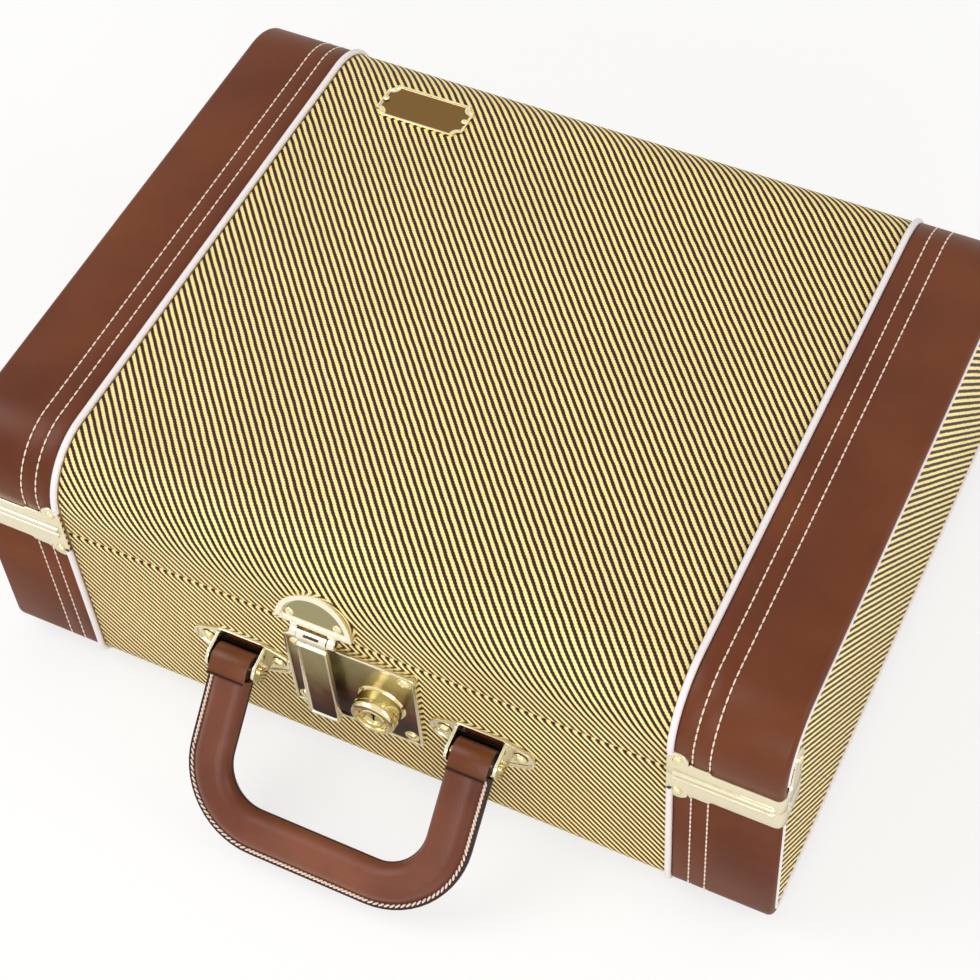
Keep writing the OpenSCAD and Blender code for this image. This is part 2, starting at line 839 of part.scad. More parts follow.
module hasp_plate() {
    color("goldenrod") difference() {
        union() {
            difference() {
                on_lean() translate([0, -hasp_low + 2, 0]) {
                    linear_extrude(hasp_plate_t) half_disc(hasp_r);
                    linear_extrude(hasp_plate_t + hasp_rim_t) difference() {
                        half_disc(hasp_r);
                        circle(r = hasp_r - hasp_rim_w);
                    }
                    translate([-hasp_r, 0, -8]) linear_extrude(8 + eps)
                        square([2 * hasp_r, 9]);
                }
                along_x(-hasp_x - 2 * hasp_r, 4 * hasp_r) outline(cloth_sink);
                translate([-hasp_x - 2 * hasp_r, front_y - 60, seam_z - 60])
                    cube([4 * hasp_r, 80, 60 + 2]);
            }
            for (s = [-1, 1])
                translate([-hasp_x + s * (hasp_mid / 2 + 0.3) - (s < 0 ? hasp_side : 0),
                           hasp_axis_y, hasp_axis_z]) {
                    rotate([0, 90, 0]) cylinder(h = hasp_side, r = hasp_knuckle_r);
                    cube([hasp_side, 3.5, 5]);
                }
        }
        translate([-hasp_x - 30, hasp_axis_y, hasp_axis_z]) rotate([0, 90, 0])
            cylinder(h = 60, r = hasp_pin_r + run_gap);
        translate([-hasp_x - hasp_mid / 2 - 0.3, hasp_axis_y - 12, hasp_axis_z - 8])
            cube([hasp_mid + 0.6, 12 + hasp_knuckle_r + 0.6, 8 + hasp_knuckle_r + 0.6]);
        hasp_rivet_places() translate([0, 0, -eps])
            cylinder(h = rivet_len + 2, r = rivet_shank_r + fit_gap);
    }
}

module hasp_pin() {
    len = hasp_mid + 2 * hasp_side + 0.6;
    color("gold") translate([-hasp_x - len / 2, hasp_axis_y, hasp_axis_z]) rotate([0, 90, 0])
        cylinder(h = len, r = hasp_pin_r);
}

// The hasp hangs from its pin: a knuckle, a channel-shaped strap and the staple on its back
module hasp() {
    strap_y = hasp_axis_y - hasp_knuckle_r;
    bottom = hasp_axis_z - strap_len;
    side = strap_w / 2;
    end_r = 3;
    flange_w = 1.2;
    color("khaki") difference() {
        union() {
            translate([-hasp_x - hasp_mid / 2, hasp_axis_y, hasp_axis_z]) rotate([0, 90, 0])
                cylinder(h = hasp_mid, r = hasp_knuckle_r);
            translate([-hasp_x - hasp_mid / 2, strap_y, hasp_axis_z - 8])
                cube([hasp_mid, strap_t, 8]);
            on_front(strap_y + strap_t, strap_t) {
                translate([-hasp_x - side, bottom + end_r]) square([strap_w, strap_len - 9]);
                translate([-hasp_x - side + end_r, bottom])
                    square([strap_w - 2 * end_r, strap_len - 6]);
                for (s = [-1, 1]) translate([-hasp_x + s * (side - end_r), bottom + end_r])
                    circle(r = end_r);
            }
            for (s = [-1, 1]) translate([-hasp_x + s * (side - flange_w / 2) - flange_w / 2,
                                         strap_y - 1, bottom + end_r])
                cube([flange_w, strap_t + 1, strap_len - 12]);
            translate([-hasp_x - staple_w / 2, strap_y + strap_t - 0.2, staple_z - staple_h / 2])
                difference() {
                    cube([staple_w, cloth_y - groove_skin - strap_y - strap_t - 0.2, staple_h]);
                    translate([staple_t, 2, -eps])
                        cube([staple_w - 2 * staple_t, 2.2, staple_h + 2 * eps]);
                }
        }
        translate([-hasp_x - strap_w, hasp_axis_y, hasp_axis_z]) rotate([0, 90, 0])
            cylinder(h = 2 * strap_w, r = hasp_pin_r + run_gap);
    }
}

// ---- Tester ----

panel_top = seam_z - panel_drop;
panel_low = panel_top - panel_t;
panel_w = 2 * (inner_x - panel_gap);
panel_d = 2 * (inner_y - panel_gap);
cleat_y = inner_y - cleat / 2;
meter_at = [37.4 + meter_w / 2 - inner_x, 66];
chart_at = [inner_x - 51.4 - chart_len / 2, 100];
knob_y = -52;
knob_xs = [for (i = [0:3]) 60.4 - inner_x + i * knob_pitch];
bush_r = 4.6;
bush_rise = 4;
button_at = [inner_x - 132.4, knob_y];
toggle_at = [inner_x - 84.4, knob_y];
lamp_at = [button_at[0], -112];
fuse_at = [toggle_at[0], -112];
inlet_at = [84.4 - inner_x, -114];
inlet_w = 34;
inlet_d = 26;
socket_y = 26;
socket_pitch = 46;
socket_xs = [for (i = [0:3]) inner_x - 64.4 + (i - 3) * socket_pitch];
socket_body_r = [13.5, 13, 8.6, 9.6];
thumb_x = chart_at[0] + chart_len / 2 + 12;
drive_y = chart_at[1] - chart_dep / 2 - roller_r;
idle_y = chart_at[1] + chart_dep / 2 + roller_r;
ring_t = 1.8;
roller_z = panel_low - ring_t - 0.7 - roller_r;
panel_screw_points = [for (sx = [-1, -1 / 3, 1 / 3, 1], sy = [-1, 1])
    [sx * (panel_w / 2 - 12), sy * cleat_y]];

module on_panel(at) {
    translate([at[0], at[1], panel_top]) children();
}

module control_panel() {
    color("lightslategray") difference() {
        translate([-panel_w / 2, -panel_d / 2, panel_low]) cube([panel_w, panel_d, panel_t]);
        translate([0, 0, panel_low - eps]) linear_extrude(panel_t + 2 * eps) {
            translate(meter_at) circle(r = meter_barrel_r + fit_gap);
            translate([chart_at[0] - chart_len / 2, chart_at[1] - chart_dep / 2])
                square([chart_len, chart_dep]);
            translate([thumb_x - 4, drive_y - thumb_r]) square([8, 2 * thumb_r]);
            for (x = knob_xs) translate([x, knob_y]) circle(r = bush_r + fit_gap);
            for (i = [0:3]) translate([socket_xs[i], socket_y])
                circle(r = socket_body_r[i] + fit_gap);
            translate(button_at) circle(r = button_r + button_bush_t + fit_gap);
            translate(toggle_at) circle(r = toggle_bush_r + fit_gap);
            translate(lamp_at) circle(r = lamp_r + fit_gap);
            translate(fuse_at) circle(r = fuse_r + fit_gap);
            translate(inlet_at) square([inlet_w - 4 + 2 * fit_gap, inlet_d - 4 + 2 * fit_gap],
                                       center = true);
            for (p = panel_screw_points) translate(p) circle(r = screw_shank_r + fit_gap);
        }
    }
}

module panel_screws() {
    color("silver") for (p = panel_screw_points) translate([p[0], p[1], panel_top])
        rotate([180, 0, 0]) screw();
}

module panel_cleats() {
    color("peru") for (s = [-1, 1]) difference() {
        translate([-inner_x + 2, s * cleat_y - cleat / 2, panel_low - cleat])
            cube([2 * inner_x - 4, cleat, cleat]);
        for (p = panel_screw_points) translate([p[0], p[1], panel_low - screw_len])
            cylinder(h = screw_len + eps, r = screw_shank_r + fit_gap);
    }
}

// ---- Meter ----

dial_rise = 3;
dial_t = 1;
glass_t = 2;
meter_rim = 7;
pivot_y = -20;
barrel_deep = 38;

module meter_case() {
    color("black") on_panel(meter_at) difference() {
        union() {
            translate([-meter_w / 2, -meter_d / 2, 0]) cube([meter_w, meter_d, meter_h - 2]);
            translate([-meter_w / 2 + 2, -meter_d / 2 + 2, 0])
                cube([meter_w - 4, meter_d - 4, meter_h]);
            translate([0, 0, -barrel_deep]) cylinder(h = barrel_deep + eps, r = meter_barrel_r);
        }
        translate([-meter_w / 2 + meter_rim, -meter_d / 2 + meter_rim, dial_rise])
            cube([meter_w - 2 * meter_rim, meter_d - 2 * meter_rim, meter_h]);
        translate([0, 0, 3 - barrel_deep])
            cylinder(h = barrel_deep + meter_h, r = meter_barrel_r - 3);
    }
}

module meter_dial() {
    color("ivory") on_panel(meter_at) difference() {
        translate([-meter_w / 2 + meter_rim + 0.4, -meter_d / 2 + meter_rim + 0.4, dial_rise])
            cube([meter_w - 2 * meter_rim - 0.8, meter_d - 2 * meter_rim - 0.8, dial_t]);
        translate([0, pivot_y, dial_rise - eps]) cylinder(h = dial_t + 2 * eps, r = 4);
    }
}

module meter_glass() {
    color("lightcyan", 0.4) on_panel(meter_at)
        translate([-meter_w / 2 + meter_rim + 0.2, -meter_d / 2 + meter_rim + 0.2, meter_h - glass_t])
            cube([meter_w - 2 * meter_rim - 0.4, meter_d - 2 * meter_rim - 0.4, glass_t]);
}

hub_r = 2.5;
hub_deep = 12;
magnet_w = 36;
magnet_d = 46;

module meter_movement() {
    deep = barrel_deep - 4;
    color("gray") on_panel(meter_at) difference() {
        translate([0, 0, 3 - barrel_deep]) intersection() {
            cylinder(h = deep, r = meter_barrel_r - 3.4);
            translate([-magnet_w / 2, pivot_y - 6, 0]) cube([magnet_w, magnet_d, deep]);
        }
        translate([0, pivot_y, -hub_deep]) cylinder(h = deep, r = hub_r + run_gap);
    }
}

// The needle, resting at the left of the scale
needle_len = 52;
needle_rest = 45;

module meter_needle() {
    color("black") on_panel(meter_at) translate([0, pivot_y, 0]) rotate([0, 0, needle_rest]) {
        translate([0, 0, 0.5 - hub_deep]) cylinder(h = hub_deep + dial_rise + dial_t + 2, r = hub_r);
        translate([0, 0, dial_rise + dial_t + 1]) linear_extrude(0.8)
            polygon([[-1.2, -8], [1.2, -8], [0.3, needle_len], [-0.3, needle_len]]);
    }
}

// ---- Tube sockets ----

// A moulded socket at the origin of its panel hole: flange, body, pin holes and key hole
module tube_socket(body_r, base) {
    flange_t = 2.4;
    flange_w = 3.4;
    deep = 16;
    through = deep + flange_t + 2 * eps;
    pin_r = base[3];
    key_r = base[4];
    keyway_w = 1.8;
    difference() {
        union() {
            cylinder(h = flange_t, r = body_r + flange_w);
            translate([0, 0, -deep]) cylinder(h = deep + eps, r = body_r);
        }
        for (i = [0:base[0] - 1]) rotate([0, 0, (i + 0.5) * 360 / base[1] - 90])
            translate([base[2] / 2, 0, -deep - eps]) cylinder(h = through, r = pin_r);
        translate([0, 0, -deep - eps]) cylinder(h = through, r = key_r);
        if (key_r > 3) translate([-keyway_w / 2, -key_r - 1.2, -deep - eps])
            cube([keyway_w, 3, through]);
    }
}

// The standard tube bases: pins, places on the pin circle, its diameter, the radius of a pin's
// hole, and the radius of the middle hole
octal_base = [8, 8, 17.45, 1.25, 4.1];
loctal_base = [8, 8, 17.5, 0.8, 3.4];
miniature_base = [7, 8, 9.5, 0.65, 1.4];
noval_base = [9, 10, 11.9, 0.65, 1.8];

module socket_octal() {
    color("#2b2320") on_panel([socket_xs[0], socket_y]) tube_socket(socket_body_r[0], octal_base);
}

module socket_loctal() {
    color("#2b2320") on_panel([socket_xs[1], socket_y]) tube_socket(socket_body_r[1], loctal_base);
}

module socket_miniature() {
    color("#5b3a24") on_panel([socket_xs[2], socket_y])
        tube_socket(socket_body_r[2], miniature_base);
}

module socket_noval() {
    color("#5b3a24") on_panel([socket_xs[3], socket_y]) tube_socket(socket_body_r[3], noval_base);
}

// ---- Knobs, switches and buttons ----

nut_h = 2;
nut_w = 2.6;

module selector_switches() {
    body_r = 16;
    body_h = 18;
    color("silver") for (x = knob_xs) on_panel([x, knob_y]) difference() {
        union() {
            translate([0, 0, -panel_t - body_h]) cylinder(h = body_h, r = body_r);
            translate([0, 0, -panel_t - eps]) cylinder(h = panel_t + eps + bush_rise, r = bush_r);
            cylinder(h = nut_h, r = bush_r + nut_w, $fn = 6);
        }
        translate([0, 0, -panel_t - body_h - eps])
            cylinder(h = panel_t + body_h + bush_rise + 2 * eps, r = shaft_r + run_gap);
    }
}

// A knob with its shaft: skirt, grip, and a white line along the grip
module knob(i) {
    skirt_h = 3;
    skirt_w = 4;
    edge = 1.5;
    finger_w = 6;
    line_w = 1;
    shaft_len = bush_rise + panel_t + 16;
    grip_r = knob_r - skirt_w;
    on_panel([knob_xs[i], knob_y]) translate([0, 0, bush_rise + 0.4]) {
        difference() {
            union() {
                cylinder(h = skirt_h, r1 = knob_r, r2 = knob_r - 1);
                cylinder(h = knob_h - edge, r = grip_r);
                translate([0, 0, knob_h - edge]) cylinder(h = edge, r1 = grip_r, r2 = grip_r - edge);
                translate([-finger_w / 2, 0, 0]) cube([finger_w, knob_r - 1.6, knob_h - 4]);
            }
            translate([-line_w / 2, 2, knob_h - 0.5]) cube([line_w, grip_r, 1]);
        }
        translate([0, 0, -shaft_len]) cylinder(h = shaft_len + 1, r = shaft_r);
    }
}

module filament_knob() { color("#1c1613") knob(0); }

module circuit_knob() { color("#1c1613") knob(1); }

module bias_knob() { color("#1c1613") knob(2); }

module load_knob() { color("#1c1613") knob(3); }

button_rise = 4;
button_bush_t = 1.5;
button_deep = 16;
plunger_deep = 9;

module button_bush() {
    color("silver") on_panel(button_at) difference() {
        union() {
            cylinder(h = button_rise, r1 = button_r + 3.5, r2 = button_r + 2.5);
            translate([0, 0, -button_deep])
                cylinder(h = button_deep + eps, r = button_r + button_bush_t);
        }
        translate([0, 0, 2 - button_deep])
            cylinder(h = button_deep + button_rise, r = button_r + run_gap);
    }
}

module test_button() {
    color("firebrick") on_panel(button_at) translate([0, 0, -plunger_deep])
        cylinder(h = plunger_deep + button_rise + button_travel + 1, r = button_r);
}

toggle_w = 14;
toggle_d = 24;
toggle_h = 18;
toggle_bush_r = 5.6;
toggle_hole_r = 4.4;
toggle_rise = 5;
toggle_throw = 12;
lever_len = 16;
lever_tip_r = 2.4;
pivot_len = 5;
pivot_r = 2.8;

module toggle_switch() {
    color("silver") on_panel(toggle_at) difference() {
        union() {
            translate([-toggle_w / 2, -toggle_d / 2, -panel_t - toggle_h])
                cube([toggle_w, toggle_d, toggle_h]);
            translate([0, 0, -panel_t - eps])
                cylinder(h = panel_t + eps + toggle_rise, r = toggle_bush_r);
            cylinder(h = nut_h, r = toggle_bush_r + nut_w, $fn = 6);
        }
        translate([0, 0, -8]) cylinder(h = 8 + toggle_rise + eps, r = toggle_hole_r);
    }
}

// The bat lever, leaning towards OFF at rest
module toggle_lever() {
    color("gainsboro") on_panel(toggle_at) rotate([toggle_throw, 0, 0]) {
        translate([-pivot_len / 2, 0, 0]) rotate([0, 90, 0]) cylinder(h = pivot_len, r = pivot_r);
        cylinder(h = lever_len, r1 = 1.5, r2 = lever_tip_r);
        translate([0, 0, lever_len]) sphere(r = lever_tip_r);
        translate([0, 0, -5]) cylinder(h = 5, r = 1.4);
    }
}

lamp_r = 6.4;
lamp_deep = 24;
fuse_r = 6.2;
fuse_deep = 29;
collar_w = 2.4;

module pilot_lamp() {
    color("crimson") on_panel(lamp_at) {
        translate([0, 0, -lamp_deep]) cylinder(h = lamp_deep + eps, r = lamp_r);
        cylinder(h = 3, r = lamp_r + collar_w);
        intersection() {
            translate([0, 0, 1]) sphere(r = lamp_r + 0.6);
            cylinder(h = 12, r = lamp_r);
        }
    }
}

module fuse_holder() {
    color("#1c1613") on_panel(fuse_at) {
        translate([0, 0, -fuse_deep]) cylinder(h = fuse_deep + eps, r = fuse_r);
        cylinder(h = 2, r = fuse_r + collar_w);
        cylinder(h = 9, r = fuse_r - 0.2);
    }
}

// A recessed inlet with two flat pins
module mains_inlet() {
    deep = 18;
    wall = 5;
    pin_gap = 12;
    pin = [1.6, 6, 9];
    color("#1c1613") on_panel(inlet_at) {
        difference() {
            union() {
                translate([-inlet_w / 2, -inlet_d / 2, 0]) cube([inlet_w, inlet_d, 2.4]);
                translate([-inlet_w / 2 + 2, -inlet_d / 2 + 2, -deep])
                    cube([inlet_w - 4, inlet_d - 4, deep + eps]);
            }
            translate([-inlet_w / 2 + wall, -inlet_d / 2 + wall, 3 - deep])
                cube([inlet_w - 2 * wall, inlet_d - 2 * wall, deep + 3]);
        }
        for (s = [-1, 1]) translate([(s * pin_gap - pin[0]) / 2, -pin[1] / 2, 2 - deep]) cube(pin);
    }
}

// ---- Roll chart ----

cradle_t = 3;
cradle_x = chart_len / 2 + 3;
cradle_low = 5;
axle_r = 2;

// The cradle under the panel's window: a ring against the panel and two bored cheeks
module chart_frame() {
    deep = idle_y - chart_at[1] + roller_r + 2;
    color("slategray") difference() {
        union() {
            translate([chart_at[0] - cradle_x - cradle_t, chart_at[1] - deep, panel_low - ring_t])
                cube([2 * (cradle_x + cradle_t), 2 * deep, ring_t]);
            for (s = [-1, 1])
                translate([chart_at[0] + s * (cradle_x + cradle_t / 2) - cradle_t / 2,
                           chart_at[1] - deep, roller_z - cradle_low])
                    cube([cradle_t, 2 * deep, panel_low - roller_z + cradle_low - 1]);
        }
        translate([chart_at[0] - chart_len / 2, chart_at[1] - chart_dep / 2, panel_low - 2.8])
            cube([chart_len, chart_dep, 4]);
        for (y = [drive_y, idle_y])
            translate([chart_at[0] - chart_len, y, roller_z]) rotate([0, 90, 0])
                cylinder(h = 2 * chart_len, r = axle_r + run_gap);
    }
}

module chart_paper() {
    color("ivory") translate([chart_at[0] - chart_len / 2 - 1, drive_y, roller_z + roller_r + 0.15])
        cube([chart_len + 2, idle_y - drive_y, 0.25]);
}

// A roller with its axle between the cheeks
module roller(y, reach) {
    translate([chart_at[0] - cradle_x - cradle_t - 1, y, roller_z]) rotate([0, 90, 0])
        cylinder(h = 2 * (cradle_x + cradle_t) + 1 + reach, r = axle_r);
    translate([chart_at[0] - chart_len / 2 - 2, y, roller_z]) rotate([0, 90, 0])
        cylinder(h = chart_len + 4, r = roller_r);
}

module drive_roller() {
    color("ivory") {
        roller(drive_y, thumb_x - chart_at[0] - cradle_x - cradle_t + 3);
        translate([thumb_x - 3, drive_y, roller_z]) rotate([0, 90, 0]) cylinder(h = 6, r = thumb_r);
    }
}

module idle_roller() { color("ivory") roller(idle_y, 1); }

// ---- Transformer ----

core_w = 78;
core_d = 34;
core_h = 64;
limb = core_w / 3;
yoke = limb / 2;
core_at = [inner_x - 51.4 - core_w / 2, -90];
core_foot_w = 10;
core_foot_t = 2;

module transformer_core() {
    color("dimgray") translate([core_at[0], core_at[1], floor_z]) difference() {
        union() {
            translate([-core_w / 2, -core_d / 2, 0]) cube([core_w, core_d, core_h]);
            translate([-core_w / 2, -core_d / 2 - core_foot_w, 0])
                cube([core_w, core_d + 2 * core_foot_w, core_foot_t]);
        }
        for (s = [-1, 1])
            translate([s * (limb / 2 + yoke / 2) - yoke / 2, -core_d, yoke])
                cube([yoke, 2 * core_d, core_h - 2 * yoke]);
        for (sx = [-1, 1], sy = [-1, 1])
            translate([sx * (core_w / 2 - 8), sy * (core_d / 2 + 5), -eps])
                cylinder(h = core_foot_t + 2 * eps, r = 2.2);
    }
}

module transformer_coil() {
    wind = yoke - 0.8;
    color("darkkhaki") translate([core_at[0], core_at[1], floor_z + yoke + 0.6]) difference() {
        translate([-limb / 2 - wind, -core_d / 2 - wind, 0])
            cube([limb + 2 * wind, core_d + 2 * wind, core_h - 2 * yoke - 1.2]);
        translate([-limb / 2 - 0.4, -core_d / 2 - 0.4, -eps])
            cube([limb + 0.8, core_d + 0.8, core_h]);
    }
}

// Moves the case so that the origin lies midway between the handle's tip and the hinges
module placed() {
    tip_y = handle_axis_y - handle_reach * cos(handle_droop) - welt_t / 2 * sin(handle_droop);
    translate([0, -(tip_y + hinge_y + hinge_r) / 2, 0]) children();
}

placed() base_shell();
placed() base_tweed_cover();
placed() base_leather_bands();
placed() base_end_panels();
placed() base_piping();
placed() base_corner_guards();
placed() base_rivets();
placed() rubber_feet();
placed() hinge_base_leaves();
placed() hinge_pins();
placed() base_screws();
placed() handle_brackets();
placed() handle_pins();
placed() lock_plate();
placed() lock_housing();
placed() key_plug();
placed() handle_grip();
placed() lid_shell();
placed() lid_tweed_cover();
placed() lid_leather_bands();
placed() lid_end_panels();
placed() lid_piping();
placed() lid_corner_guards();
placed() lid_rivets();
placed() hinge_lid_leaves();
placed() lid_screws();
placed() nameplate();
placed() hasp_plate();
placed() hasp_pin();
placed() hasp();
placed() control_panel();
placed() panel_screws();
placed() panel_cleats();
placed() meter_case();
placed() meter_dial();
placed() meter_glass();
placed() meter_movement();
placed() meter_needle();
placed() socket_octal();
placed() socket_loctal();
placed() socket_miniature();
placed() socket_noval();
placed() selector_switches();
placed() filament_knob();
placed() circuit_knob();
placed() bias_knob();
placed() load_knob();
placed() chart_frame();
placed() chart_paper();
placed() drive_roller();
placed() idle_roller();
placed() toggle_switch();
placed() toggle_lever();
placed() button_bush();
placed() test_button();
placed() pilot_lamp();
placed() fuse_holder();
placed() mains_inlet();
placed() transformer_core();
placed() transformer_coil();
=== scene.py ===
# %% [markdown]
# # A tube tester in its carrying case
# The outside is a wooden box with rounded edges, wrapped in tweed in the middle and in leather
# at both ends, with brass hardware. Inside, a control panel holds a meter, sockets and knobs.
# The construction comes from the frame, and this lesson gives each piece its final shape and
# finish. Every new piece is in metres, in the frame's own coordinates.

# %% The frame
import math

import bmesh
import bpy
from mathutils import Matrix, Vector


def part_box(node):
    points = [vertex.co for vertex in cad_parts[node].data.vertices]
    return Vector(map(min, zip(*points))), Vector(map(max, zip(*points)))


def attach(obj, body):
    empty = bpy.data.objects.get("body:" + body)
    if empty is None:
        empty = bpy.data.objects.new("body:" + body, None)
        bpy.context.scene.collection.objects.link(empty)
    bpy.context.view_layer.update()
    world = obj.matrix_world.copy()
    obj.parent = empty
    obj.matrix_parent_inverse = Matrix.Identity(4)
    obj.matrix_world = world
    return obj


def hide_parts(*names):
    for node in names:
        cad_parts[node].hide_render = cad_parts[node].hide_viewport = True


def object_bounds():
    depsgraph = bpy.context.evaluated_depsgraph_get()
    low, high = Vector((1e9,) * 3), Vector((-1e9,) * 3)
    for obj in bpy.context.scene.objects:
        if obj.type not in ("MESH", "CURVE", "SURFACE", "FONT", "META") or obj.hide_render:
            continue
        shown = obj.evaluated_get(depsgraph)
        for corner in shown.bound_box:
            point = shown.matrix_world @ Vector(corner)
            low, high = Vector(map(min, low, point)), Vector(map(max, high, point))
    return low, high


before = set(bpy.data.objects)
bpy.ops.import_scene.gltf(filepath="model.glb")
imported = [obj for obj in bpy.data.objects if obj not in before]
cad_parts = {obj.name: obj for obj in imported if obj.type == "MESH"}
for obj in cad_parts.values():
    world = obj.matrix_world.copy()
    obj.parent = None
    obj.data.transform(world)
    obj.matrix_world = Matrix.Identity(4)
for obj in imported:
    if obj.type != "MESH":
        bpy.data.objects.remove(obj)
cad_low, cad_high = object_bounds()
mm = 0.001

# %% [markdown]
# ## The camera
# The camera looks down on the case from its front and its right, from about 1.3 m, with a
# long lens. Its place is a turn round the case, a height above it and a roll, which are easier
# to read than a matrix. The shift lifts the picture a little, so that the case fills the frame.

# %% The camera
frame_px = 980
focal_px = 2282.6
axis_row_px = 430
camera_turn, camera_height, camera_roll = (math.radians(a) for a in (29.68, 52.43, -4.91))
camera_reach = 1.3259
aim = Vector((-42.9, 91.0, 0)) * mm

right = Vector((math.cos(camera_turn), math.sin(camera_turn), 0))
back = Vector((math.sin(camera_turn) * math.cos(camera_height),
               -math.cos(camera_turn) * math.cos(camera_height), math.sin(camera_height)))
rolled = Matrix.Rotation(camera_roll, 3, back)
right = rolled @ right
camera_data = bpy.data.cameras.new("camera")
camera_data.sensor_width = 36
camera_data.lens = camera_data.sensor_width * focal_px / frame_px
camera_data.shift_y = (axis_row_px - frame_px / 2) / frame_px
camera_data.clip_start, camera_data.clip_end = 0.05, 20
camera = bpy.data.objects.new("camera", camera_data)
bpy.context.scene.collection.objects.link(camera)
camera.matrix_world = Matrix.Translation(aim + back * camera_reach) @ Matrix(
    (right, back.cross(right), back)).transposed().to_4x4()
bpy.context.scene.camera = camera
print("lens of", round(camera_data.lens, 1), "mm")

# %% [markdown]
# ## Helpers for materials
# Colours are written as sRGB hex codes, as in a paint program, and Blender's shaders want
# linear values, so one function turns the one into the other. A second function adds a node
# with its settings and links in one call, which keeps each material short enough to read.

# %% Helpers for materials
def linear(code):
    """A hex colour as linear red, green, blue and alpha."""
    parts = [int(code[i:i + 2], 16) / 255 for i in (0, 2, 4)]
    return [c / 12.92 if c <= 0.04045 else ((c + 0.055) / 1.055) ** 2.4 for c in parts] + [1]


def add(tree, kind, inputs=None, **settings):
    """Adds a node. An input's value is a number, a colour or another node's output."""
    node = tree.nodes.new(kind)
    for name, value in settings.items():
        setattr(node, name, value)
    for name, value in (inputs or {}).items():
        if isinstance(value, bpy.types.NodeSocket):
            tree.links.new(value, node.inputs[name])
        else:
            node.inputs[name].default_value = value
    return node


def material(name, **inputs):
    """A new material with its Principled shader, whose sockets take the given values."""
    made = bpy.data.materials.new(name)
    made.use_nodes = True
    shader = made.node_tree.nodes["Principled BSDF"]
    for socket, value in inputs.items():
        shader.inputs[socket.replace("_", " ")].default_value = value
    return made, made.node_tree, shader


def sums(tree, operation, a, b=0.0, c=0.0):
    """The result of one Math node."""
    return add(tree, "ShaderNodeMath", {0: a, 1: b, 2: c}, operation=operation).outputs[0]


def ramp(tree, factor, *stops):
    """A Color Ramp's colour, from (position, hex) pairs."""
    node = add(tree, "ShaderNodeValToRGB", {"Fac": factor})
    for i, (place, code) in enumerate(stops):
        stop = node.color_ramp.elements[i] if i < 2 else node.color_ramp.elements.new(place)
        stop.position = place
        stop.color = linear(code)
    return node.outputs["Color"]


def place(tree):
    """The point on the piece, in metres."""
    return add(tree, "ShaderNodeTexCoord").outputs["Object"]


def noise(tree, size, detail=3.0, where=None):
    """Noise with bumps of about the given size in metres."""
    return add(tree, "ShaderNodeTexNoise", {"Vector": where or place(tree), "Scale": 1 / size,
                                            "Detail": detail}).outputs["Fac"]


def relief(tree, shader, height, depth, share=1.0):
    """Bumps of the given depth in metres, from a height between 0 and 1."""
    bump = add(tree, "ShaderNodeBump", {"Height": height, "Distance": depth, "Strength": share})
    tree.links.new(bump.outputs["Normal"], shader.inputs["Normal"])


def paint(tree, shader, factor, *stops):
    """Colours a material with a ramp."""
    tree.links.new(ramp(tree, factor, *stops), shader.inputs["Base Color"])


def place_along(tree, axis):
    """One coordinate of the point on the piece."""
    return add(tree, "ShaderNodeSeparateXYZ", {0: place(tree)}).outputs[axis]


def plain(name, code, bumps, depth, **inputs):
    """A material of one colour, with bumps of the given size and depth in metres."""
    made, tree, shader = material(name, Base_Color=linear(code), **inputs)
    relief(tree, shader, noise(tree, bumps), depth)
    return made


def mottled(name, size, detail, dark, light, **inputs):
    """A material that drifts between two colours in soft patches."""
    made, tree, shader = material(name, **inputs)
    paint(tree, shader, noise(tree, size, detail), (0.3, dark), (0.7, light))
    return made


def striped(name, axis, pitch, dark, light, depth, **inputs):
    """Stacked sheets or turns of wire, as stripes across one axis."""
    made, tree, shader = material(name, **inputs)
    wave = sums(tree, "SINE", sums(tree, "MULTIPLY", place_along(tree, axis), 2 * math.pi / pitch))
    paint(tree, shader, wave, (0.2, dark), (0.8, light))
    relief(tree, shader, wave, depth)
    return made


def refinish(finish, *nodes):
    """Gives pieces of the frame a finish in place of the construction's plain colour."""
    for node in nodes:
        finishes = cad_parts[node].data.materials
        finishes.clear()
        finishes.append(finish)

# %% [markdown]
# ## The studio
# A pale floor and soft light from large lamps, so that brass has something broad to mirror.
# The floor and the sky look white to the camera, without adding light. Brass mirrors the sky
# as white, but the floor only as it is lit, which keeps some dark in the upright plates.

# %% The studio
def seen_by(tree, first, *others):
    """1 for light paths of the given kinds."""
    path = add(tree, "ShaderNodeLightPath")
    seen = path.outputs[first]
    for kind in others:
        seen = sums(tree, "MAXIMUM", seen, path.outputs[kind])
    return seen


bpy.context.scene.view_settings.view_transform = "Standard"
world = bpy.data.worlds.new("studio")
world.use_nodes = True
bpy.context.scene.world = world
sky = world.node_tree
seen = seen_by(sky, "Is Camera Ray", "Is Transmission Ray", "Is Glossy Ray")
fill = add(sky, "ShaderNodeBackground", {"Color": linear("FBF6EC"), "Strength": 0.54})
white = add(sky, "ShaderNodeBackground", {"Color": linear("FFFFFF"), "Strength": 1.0})
both = add(sky, "ShaderNodeMixShader", {0: seen, 1: fill.outputs[0], 2: white.outputs[0]})
sky.links.new(both.outputs[0], sky.nodes["World Output"].inputs["Surface"])


def softbox(name, where, size, power, colour="FFFFFF"):
    """A large square lamp that shines on the middle of the case."""
    lamp = bpy.data.lights.new(name, "AREA")
    lamp.shape = "RECTANGLE"
    lamp.size, lamp.size_y = size
    lamp.energy = power
    lamp.color = linear(colour)[:3]
    made = bpy.data.objects.new(name, lamp)
    bpy.context.scene.collection.objects.link(made)
    made.location = where
    made.rotation_euler = (Vector((0, 0, 0.1)) - Vector(where)).to_track_quat("-Z", "Y").to_euler()


